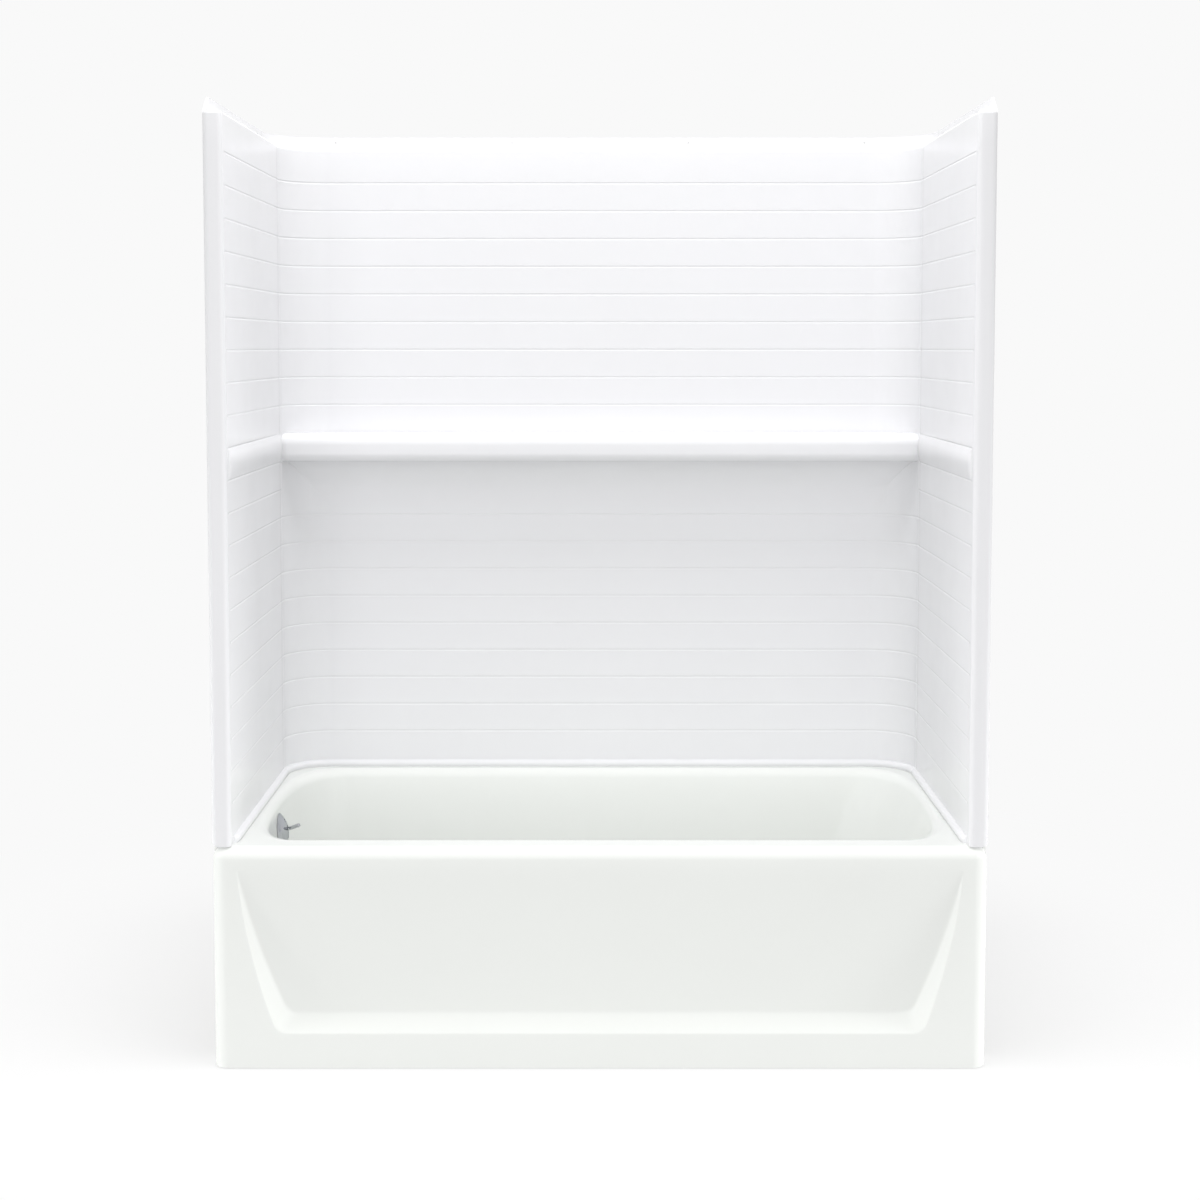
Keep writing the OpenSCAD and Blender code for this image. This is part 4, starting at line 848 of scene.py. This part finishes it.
def shelfShell(inset, start, halfWidth):
    # closed shell between the shelf's top and its cove, inset for the hollow behind it
    front = wall["face"] + shelf["depth"]
    coveFront, tip = front - shelf["lip"], front - inset
    depth, cove = shelf["depth"] - shelf["lip"] + inset, shelf["cove"] + inset
    nose, lip = shelf["nose"] - inset, shelf["lip"] - inset
    stops = {start, tip} | {coveFront - d for d in (1, 2, 3, 6, 30)}
    stops |= {u for u in (coveFront - depth * cosOf(a) for a in range(0, 91, 5)) if u > start}
    stops |= {tip - nose + nose * sinOf(a) for a in range(0, 91, 6)}
    stops |= {coveFront + lip * sinOf(a) for a in range(0, 91, 9)}
    rows = []
    for u in sorted(stops):
        if rows and u - rows[-1][0] < 0.02:
            continue
        over, past = u - (tip - nose), u - coveFront
        high = shelfTop - inset if over <= 0 else shelfTop - inset - nose + math.sqrt(max(0, nose * nose - over * over))
        if past > 0:
            under = shelfLow + shelf["lip"] - math.sqrt(max(0, lip * lip - past * past))
        else:
            under = shelfLow - shelf["cove"] + cove * math.sqrt(max(0, 1 - (past / depth) ** 2))
            if inset == 0:  # the lip hangs a little below the start of the cove
                under += shelf["drip"] * min(1, -past / 3) * max(0, 1 + past / 30)
        rows.append((u, high, under))
    points, n, m = [], shelf["steps"] + 1, len(rows)
    for side in (1, 2):
        for row in rows:
            y = halfD - row[0]
            points += [[halfWidth(y) * (1 - 2 * i / shelf["steps"]), y, deckZ + row[side]] for i in range(n)]
    base, last = n * m, (m - 1) * n
    faces = gridFaces(m, n) + gridFaces(m, n, first=base, flip=True)
    for i in range(n - 1):
        faces.append([i + 1, i, base + i, base + i + 1])
        faces.append([last + i, last + i + 1, base + last + i + 1, base + last + i])
    for j in range(0, last, n):
        faces.append([j, j + n, base + j + n, base + j])
        faces.append([j + 2 * n - 1, j + n - 1, base + j + n - 1, base + j + 2 * n - 1])
    return points, faces


solidShelf = shelfShell(0, panelBack + 1, lambda y: roomHalf(y, 2.5))
hollow = shelfShell(wall["sheet"], -2.0, lambda y: faceX - wall["sheet"])
wallHoles = [screwHole(x, halfD, holes["wall"], "Y") for x in holes["backX"]]
backMesh = combined(combined(backSheet, [solidShelf]), [hollow] + wallHoles, "DIFFERENCE")
print("shelf joined:", len(backMesh.polygons), "faces")

# moulded stiffening ribs behind a wall: one drafted rib on each point of a line,
# its plan swept up its height with the free edge rounded by a fillet
tree, entry = newTree("studRibs", dict.fromkeys(("Height", "Depth", "Thickness", "Edge Round", "Turn"), 0.0))
given = entry.outputs
plan = addNode(tree, "GeometryNodeCurvePrimitiveQuadrilateral",
               links={"Width": given["Thickness"], "Height": given["Depth"]})
soft = addNode(tree, "GeometryNodeFilletCurve", {"Count": 3}, {"Curve": plan, "Radius": given["Edge Round"]},
               mode="POLY")
up = addNode(tree, "ShaderNodeCombineXYZ", links={"Z": given["Height"]})
line = addNode(tree, "GeometryNodeCurvePrimitiveLine", links={"End": up})
rib = addNode(tree, "GeometryNodeCurveToMesh", {"Fill Caps": True}, {"Curve": line, "Profile Curve": soft})
turn = addNode(tree, "ShaderNodeCombineXYZ", links={"Z": given["Turn"]})
spots = addNode(tree, "GeometryNodeInstanceOnPoints",
                links={"Points": given["Geometry"], "Instance": rib, "Rotation": turn})
studRibs = endTree(tree, entry, spots)


def ribsAt(places, low, high, turn):
    # ribs of one height at the given places behind a wall
    return withTree(meshFrom([[x, y, deckZ + low] for x, y in places], []), studRibs, {
        "Height": (high - low) * mm, "Depth": (panelBack + 0.6) * mm, "Thickness": ribs["thickness"] * mm,
        "Edge Round": ribs["tip"] * mm, "Turn": turn, "Finish": wallComposite})


ribIn = panelBack / 2 + 0.3
ribTop = wall["shoulder"] - wall["sheet"] + 0.5


def seamPlates(ends, y, tongue):
    # flange behind each seam that bolts the panels together, with its tongue
    x0, t, sheet = halfL - panelBack - 1, seam["tongue"], wall["sheet"]
    mid = halfL - (sheet + 3 + panelBack) / 2
    slabs = [(box(x0, y, x0 + seam["width"] + 1, y + seam["sheet"]), seam["low"])]
    if tongue:
        slabs.append((box(mid - t / 2, y - t, mid + t / 2, y + 1), ribs["low"]))
    return meshFrom(*joinShells([outward(prism([[end * a, b] for a, b in slab], deckZ + low, deckZ + ribTop))
                                 for end in ends for slab, low in slabs]))


ribPlaces = [(x, halfD - ribIn) for x in holes["backX"]]
backRibs = [ribsAt(ribPlaces, ribs["low"], shelfLow - shelf["cove"], 0.0),
            ribsAt(ribPlaces, shelfTop - wall["sheet"] + 0.5, ribTop, 0.0)]
backMesh = merged([backMesh, seamPlates((-1, 1), seamY, True)] + backRibs, 1e-7)
newPiece("backWall", backMesh, wallComposite, "wall_set", ["back_wall"])
print("back wall:", len(backMesh.polygons), "faces")


# End walls with their front strips

def stripPath(inset):
    # round the front strip in plan, [from the studs, back from the strip's face]
    face, inner, outer = wall["face"], wall["stripInner"], wall["stripOuter"]
    path = [(face - inset, wall["stripBack"]), (face - inset, (wall["stripBack"] + inner) / 2)]
    path += arc(face - inner, inner, inner - inset, 0, -90, 10) + arc(outer, outer, outer - inset, -90, -180, 10)
    return path + [(inset, (wall["stripBack"] + outer) / 2), (inset, wall["stripBack"])]


def flangeShare(y):
    # the nailing flange rises from the strip to its full height
    return min(1, max(0, (y - stripY - wall["stripOuter"]) / (wall["flangeRun"] - wall["stripOuter"])))


def endWallMesh(end):
    rows = wallSection(True)
    tip, endY = wall["beadTip"], stripY + wall["stripBack"]
    stops = [seamY - d for d in seam["stops"]] + [240, 150, 50, -50, -150, -250, -300, -322]
    tipSteps = (0, 4, 8, 12, 15, 18, 21, 23, 24.5, 25.5, 26.2, 26.6, 26.8, 27, 27.5, 28, 29)
    columns = []
    for y in stops + [endY + tip + 6 - t for t in tipSteps] + [endY]:
        t = min(1, max(0, (endY + tip + 3 - y) / tip))
        beadShare = math.sqrt(max(0, 1 - t * t))
        grooveShare = min(1, max(0, (y - endY + 4) / 6))
        columns.append(((end * halfL, y), (-end, 0), beadShare, grooveShare, seamEase(seamY - y), flangeShare(y)))
    # the strip goes on from the same edge, up to the shoulder, and closes over the top
    top, r = wall["shoulder"], wall["shoulderRound"]
    layers = [(0.0, z) for z in sorted({row[1] for row in rows if row[1] < top - r})]
    layers += [(r * (1 - cosOf(a)), top - r + r * sinOf(a)) for a in range(0, 91, 15)]
    strip = [[end * (halfL - u), stripY + v, deckZ + z] for inset, z in layers for u, v in stripPath(inset)]
    n = len(stripPath(0))
    faces = gridFaces(len(layers), n) + [[(len(layers) - 1) * n + i for i in range(n)]]
    parts = [sweptSheet(rows, columns), (strip, faces, [0.0] * len(strip), [(float(end), 0.0, 0.0)] * len(strip))]
    sheet = wallSheet([flipped(part) for part in parts] if end < 0 else parts)
    # the flange's slanted tip stands on the strip, and the strip's lower outer corner is rounded off
    front, back = stripY + wall["stripOuter"], endY + 0.4
    slant = [(front, top - 1), (front + 1.2, top + 0.3),
             (back, top + (wall["height"] - top) * flangeShare(back)), (back, top - 1)]
    slant = sweptShell([[(end * x, y, deckZ + z) for y, z in slant] for x in (halfL - wall["sheet"], halfL)])
    r = wall["stripFoot"]
    corner = [(halfL + 2, -2), (halfL + 2, r)] + arc(halfL - r, r, r, 0, -90, 15) + [(halfL - r, -2)]
    footCut = sweptShell([[(end * x, y, deckZ + z) for x, z in corner] for y in (stripY - 2, endY + 1)])
    cuts = [footCut] + [screwHole(end * halfL, y, holes["wall"], "X") for y in holes["sideY"]]
    sheet = combined(combined(sheet, [slant]), cuts, "DIFFERENCE")
    ribMesh = ribsAt([(end * (halfL - ribIn), y) for y in holes["sideY"]], ribs["low"], ribTop, math.pi / 2)
    return merged([sheet, ribMesh, seamPlates((end,), seamY - wall["sheet"], False)], 1e-7)


newPiece("endWallRight", endWallMesh(1), wallComposite, "wall_set", ["end_wall_right"])
endWallLeft = newPiece("endWallLeft", endWallMesh(-1), wallComposite, "wall_set", ["end_wall_left"])
print("end walls:", len(endWallLeft.data.polygons), "faces each")


# Overflow plate, its screws and the trip lever

plate = dict(radius=41.0, dome=18.0, sheet=1.6, edge=1.5, stand=0.9, slotWidth=6.8, slotRound=1.2, ease=0.3,
             screwAt=24.0, screwHead=4.4, boss=5.6, bossLow=3.0)
lever = dict(pivot=(-696.869, 0, 371.477), pivotIn=6.0, rest=18.0, reach=52.0, width=6.0, halfHigh=3.5, knob=6.0,
             tip=4.0, tipRise=1.0, hub=4.0, arm=37.0, armHalf=3.0, eye=3.2, eyeHole=1.52, pinHole=2.2, fork=2.6)
rise = plate["dome"] - plate["edge"]
domeR = (plate["radius"] ** 2 + rise ** 2) / (2 * rise)
leverNeck = lever["pivotIn"] + plate["dome"] + 5
lowest = math.radians(lever["rest"] + bath["leans"][0])
slotHalf = (lever["pivotIn"] + plate["dome"]) * math.tan(lowest) + lever["halfHigh"] / math.cos(lowest) + 0.4


def domeAt(r, drop=0.0):
    return plate["dome"] - domeR + math.sqrt(domeR ** 2 - r * r) - drop


# the cover's outside with a rolled rim, and the space below its sheet less two bosses for the screws
outR, inR, low = plate["radius"], plate["radius"] - plate["sheet"], plate["stand"]
rimZ = domeAt(outR)
outside = [(0, low), (outR - 0.4, low), (outR - 0.1, low + 0.12), (outR, low + 0.4),
           (outR, rimZ - 0.4), (outR - 0.1, rimZ + 0.05), (outR - 0.35, rimZ + 0.3)]
outside += [(r, domeAt(r)) for r in [(outR - 0.9) * (26 - i) / 26 for i in range(27)]]
inside = [(0, -3), (inR, -3)] + [(r, domeAt(r, plate["sheet"])) for r in [inR * (22 - i) / 22 for i in range(23)]]
toX = turnY(90)
screwPlaces = (plate["screwAt"], -plate["screwAt"])
seat, head = domeAt(plate["screwAt"] + plate["boss"]) - 0.6, plate["screwHead"]
bosses = [moved(rod(plate["boss"], plate["bossLow"], 40, "Z", 48), shift(z, 0, 0)) for z in screwPlaces]
below = combined(meshFrom(*outward(turned(inside, 128))), bosses, "DIFFERENCE")
slot = prism(roundedBox(slotHalf, plate["slotWidth"] / 2, plate["slotRound"]), -1, 40)
well = [(0, -1), (2.5, -1), (2.5, seat), (head + 0.3, seat), (head + 0.3, 40), (0, 40)]
wells = [moved(turned(well, 48), shift(z, 0, 0)) for z in screwPlaces]
plateMesh = combined(meshFrom(*outward(turned(outside, 128))), [below, slot] + wells, "DIFFERENCE")
plateMesh = placed(eased(merged([plateMesh]), plate["ease"], 42), atOverflow @ toX)
newPiece("overflowPlate", plateMesh, chromePlate, "bath", ["overflow_plate"], smoothAngle=28)


def threadLine(core, crest, low, high):
    # rolled thread, drawn about twice as coarse as M4 so that its ridges stay few
    turns = range(int((high - low) / 1.3) + 1)
    ridge = ((core, 0), (crest, 0.45), (crest, 0.65), (core, 1.1))
    return [(r, low + i * 1.3 + z) for i in turns for r, z in ridge if low + i * 1.3 + z < high]


def slottedScrew(line, reach, low, high):
    # a screw turned from its outline, with a slot of a millimetre across its head
    return combined(meshFrom(*turned(line, 36)), [prism(box(-reach, -0.5, reach, 0.5), low, high)], "DIFFERENCE")


low = -16.0
line = [(0, low), (1.1, low), (2.0, low + 1.6)] + threadLine(1.75, 2.15, low + 2, seat - 1)
line += [(2.1, seat - 0.6), (2.1, seat), (head - 0.2, seat), (head, seat + 0.25), (head, seat + 0.7)]
line += bow(0, seat + 0.7, head, 1.4, range(8, 90, 9)) + [(0, seat + 2.1)]
screws = [placed(slottedScrew(line, 6, seat + 1.1, seat + 4), atOverflow @ toX @ shift(z, 0, 0) @ turnZ(angle))
          for z, angle in zip(screwPlaces, (35, -20))]
newPiece("plateScrews", merged(screws), chromePlate, "bath", ["plate_screws"], smoothAngle=28)


def leverShell():
    # handle lofted from the hub to a rounded, thicker tip
    width, knob, reach = lever["width"] / 2, lever["knob"], lever["reach"]
    tipStart, low, high = reach - knob, lever["hub"] - 0.5, lever["tip"]
    sections = []
    for i in range(49):
        x = reach * i / 48 if i < 40 else tipStart + (reach - tipStart) * math.sin(math.pi / 2 * (1 - (48 - i) / 9))
        grow = min(1, max(0, (x - leverNeck + 2) / (tipStart - leverNeck + 2)))
        t = min(1, x / (reach - lever["tip"]))
        w, half, mid = width + (knob - width) * grow, low + (high - low) * t, lever["tipRise"] * t
        if x > tipStart:
            share = math.sqrt(max(0.012, 1 - ((x - tipStart) / knob) ** 2))
            w, half = w * share, half * (0.35 + 0.65 * share if share > 0.12 else share)
        ring = []
        for k in range(28):
            c, s = math.cos(2 * math.pi * k / 28), math.sin(2 * math.pi * k / 28)
            ring.append((x, w * math.copysign(abs(c) ** 0.62, c), mid + half * math.copysign(abs(s) ** 0.72, s)))
        sections.append(ring)
    return sweptShell(sections)


halfWide, forkHalf, toEye = lever["width"] / 2, lever["fork"] / 2, shift(-lever["arm"], 0, 0)
hub = rod(lever["hub"], -halfWide, halfWide, "Y", 48)
armShell = prism(roundedBox(lever["arm"] / 2, lever["armHalf"], 0.8, 4), -halfWide, halfWide)
armShell = moved(armShell, shift(-lever["arm"] / 2, 0, 0) @ turnX(90))
eye = moved(rod(lever["eye"], -halfWide, halfWide, "Y", 40), toEye)
leverMesh = combined(meshFrom(*outward(leverShell())), [hub, armShell, eye])
fork = moved(prism(box(-9, -forkHalf, 9, forkHalf), -6, 6), shift(4 - lever["arm"], 0, 0))
leverCuts = [rod(lever["pinHole"], -9, 9, "Y"), fork, moved(rod(lever["eyeHole"], -9, 9, "Y"), toEye)]
leverMesh = merged([combined(leverMesh, leverCuts, "DIFFERENCE")])
newPiece("tripLever", placed(leverMesh, shift(*lever["pivot"]) @ turnY(-lever["rest"])), chromePlate, "lever",
         ["trip_lever"], smoothAngle=35)
print("overflow plate, screws and lever done")


# Drain strainer

strainer = dict(
    flange=37.0, rise=2.5, barrel=24.0, grid=20.0, ledge=1.5, gridLow=77.0, bottom=64.6,
    cross=5.2, crossHeight=4.0, crossHole=2.0, dome=4.0, sheet=1.2, screwHole=2.3,
    rings=dict(Inner=(8, 8.0, 1.6), Outer=(12, 12.6, 1.9)),  # how many holes, radius of their ring, radius of a hole
)


def strainerOutline():
    # flange that dishes towards the grid, ledge, threaded barrel
    barrel, bottom, flange = strainer["barrel"], strainer["bottom"], strainer["flange"]
    top = seatZ + strainer["rise"]
    inner = strainer["grid"] - strainer["ledge"]
    line = [(inner, bottom), (barrel - 1, bottom)]
    z = bottom + 0.6
    while z < seatZ - 3.2:  # coarse pipe thread
        line += [(barrel - 0.7, z), (barrel, z + 0.7), (barrel, z + 0.95), (barrel - 0.7, z + 1.65)]
        z += 1.8
    line += [(barrel, seatZ - 0.8), (barrel, seatZ)]
    line += [(flange - 0.3, seatZ), (flange, seatZ + 0.3), (flange, seatZ + 0.6)]
    line += bow(flange - 2.6, seatZ + 0.6, 2.6, strainer["rise"] - 0.6, range(10, 91, 10))
    dish = ((31, 0.08), (27, 0.35), (23.5, 0.7), (21.4, 1.05), (20.6, 1.5), (20.3, 2.1))
    return line + [(r, top - down) for r, down in dish] + [(20.3, strainer["gridLow"]), (inner, strainer["gridLow"])]


half, w = strainer["grid"] - 0.6, strainer["cross"] / 2
bars = [prism(bar, strainer["bottom"] + 0.02, strainer["bottom"] + strainer["crossHeight"])
        for bar in (box(-half, -w, half, w), box(-w, -half, w, half))]
bodyMesh = combined(meshFrom(*turned(strainerOutline(), 96)), bars)
bodyMesh = merged([combined(bodyMesh, [rod(strainer["crossHole"], 40, 90)], "DIFFERENCE")])
newPiece("strainerBody", placed(bodyMesh, atDrain), chromePlate, "bath", ["strainer_body"])

# drills two rings of holes through the drain cover
sizes = {}
for ring, (count, radius, hole) in strainer["rings"].items():
    sizes |= {ring + " Count": count, ring + " Ring": radius * mm, ring + " Hole": hole * mm}
tree, entry = newTree("drainPerforations", sizes)
given = entry.outputs
pins = addNode(tree, "GeometryNodeJoinGeometry")
for ring in strainer["rings"]:
    circle = addNode(tree, "GeometryNodeMeshCircle",
                     links={"Vertices": given[ring + " Count"], "Radius": given[ring + " Ring"]})
    pin = addNode(tree, "GeometryNodeMeshCylinder", {"Vertices": 20, "Depth": 0.03}, {"Radius": given[ring + " Hole"]})
    spots = addNode(tree, "GeometryNodeInstanceOnPoints", links={"Points": circle, "Instance": pin})
    real = addNode(tree, "GeometryNodeRealizeInstances", links={"Geometry": spots})
    tree.links.new(real.outputs[0], pins.inputs[0])
drilled = addNode(tree, "GeometryNodeMeshBoolean", operation="DIFFERENCE", solver="MANIFOLD",
                  links={"Mesh 1": given["Geometry"], "Mesh 2": pins})
drainPerforations = endTree(tree, entry, drilled)


def gridOutline():
    # thin domed cover, made at z 0, [radius, height]
    d, t = strainer["dome"], strainer["sheet"]
    lower = [(r, d - t - 2.6 * (r / 17.5) ** 2) for r in [17 * i / 12 for i in range(13)]]
    upper = [(r, d - 2.6 * (r / 20.0) ** 2.2) for r in [19.6 * i / 16 for i in range(17)]]
    return lower + [(17.4, 0.0), (19.7, 0.0), (20.0, 0.3), (20.0, 1.1), (19.9, 1.3)] + upper[::-1]


gridMesh = merged([meshFrom(*turned(gridOutline(), 96))], 1e-7)
gridMesh = combined(gridMesh, [rod(strainer["screwHole"], -5, 9)], "DIFFERENCE")
gridMesh = merged([withTree(gridMesh, drainPerforations, {"Finish": chromePlate, **sizes})])
newPiece("strainerGrid", placed(gridMesh, atDrain @ shift(0, 0, strainer["gridLow"])), chromePlate, "bath",
         ["strainer_grid"], smoothAngle=28)

low, top = 62.6, strainer["gridLow"] + strainer["dome"]
line = [(0, low), (1.2, low), (1.95, low + 1)] + threadLine(1.55, 1.95, low + 1.4, low + 13)
line += [(1.95, top - 3), (1.95, top), (3.8, top), (4.0, top + 0.2), (4.0, top + 0.5)]
line += bow(0, top + 0.5, 4.0, 1.1, range(10, 90, 10)) + [(0, top + 1.6)]
screwMesh = merged([slottedScrew(line, 5, top + 0.8, top + 3)])
newPiece("strainerScrew", placed(screwMesh, atDrain @ turnZ(28)), chromePlate, "bath", ["strainer_screw"],
         smoothAngle=28)
print("strainer done")


# What the moulding hides: each part is a merged copy of its solid with eased edges

hidden = dict(
    apron_rail=("apronRail", pineRail, "timber", "bath", 1.5),
    base_board=("baseBoard", strandBoard, "board", "bath", 0.6),
    base_feet=("baseFeet", footPlastic, "foot_moulding", "bath", 1.2),
    foot_screws=("footScrews", zincSteel, "steel", "bath", 0.15),
    lever_bracket=("leverBracket", zincSteel, "steel", "bath", 0.2),
    lever_pin=("leverPin", zincSteel, "steel", "bath", 0.2),
    linkage_pin=("linkagePin", zincSteel, "steel", "lever", 0.15),
    upper_linkage=("upperLinkage", drawnBrass, "brass", "linkage", 0.2),
    lock_nuts=("lockNuts", drawnBrass, "brass", "linkage", 0.3),
    lower_linkage=("lowerLinkage", drawnBrass, "brass", "linkage", 0.0),
    plunger=("plungerCup", castBrass, "brass", "linkage", 0.5),
    overflow_gasket=("overflowGasket", blackRubber, "rubber", "bath", 0.6),
    overflow_elbow=("overflowElbow", castBrass, "brass", "bath", 0.5),
    overflow_tube=("overflowTube", drawnBrass, "brass", "bath", 0.0),
    waste_tee=("wasteTee", castBrass, "brass", "bath", 0.5),
    waste_tube=("wasteTube", drawnBrass, "brass", "bath", 0.0),
    slip_nuts=("slipNuts", nickelNut, "brass", "bath", 0.6),
    slip_washers=("slipWashers", blackRubber, "rubber", "bath", 0.2),
    drain_shoe=("drainShoe", castBrass, "brass", "bath", 0.5),
    shoe_gasket=("shoeGasket", blackRubber, "rubber", "bath", 0.4),
)
for node, (name, material, slotName, body, ease) in hidden.items():
    mesh = merged([nodes[node].data.copy()], 2e-6)
    mesh.materials.clear()
    grid = bmesh.new()
    grid.from_mesh(mesh)
    bmesh.ops.dissolve_limit(grid, angle_limit=math.radians(0.6), verts=grid.verts, edges=grid.edges)
    grid.to_mesh(mesh)
    grid.free()
    newPiece(name, eased(mesh, ease, 38) if ease else mesh, material, body, [node], smoothAngle=34)
print("hidden parts done:", len(hidden))
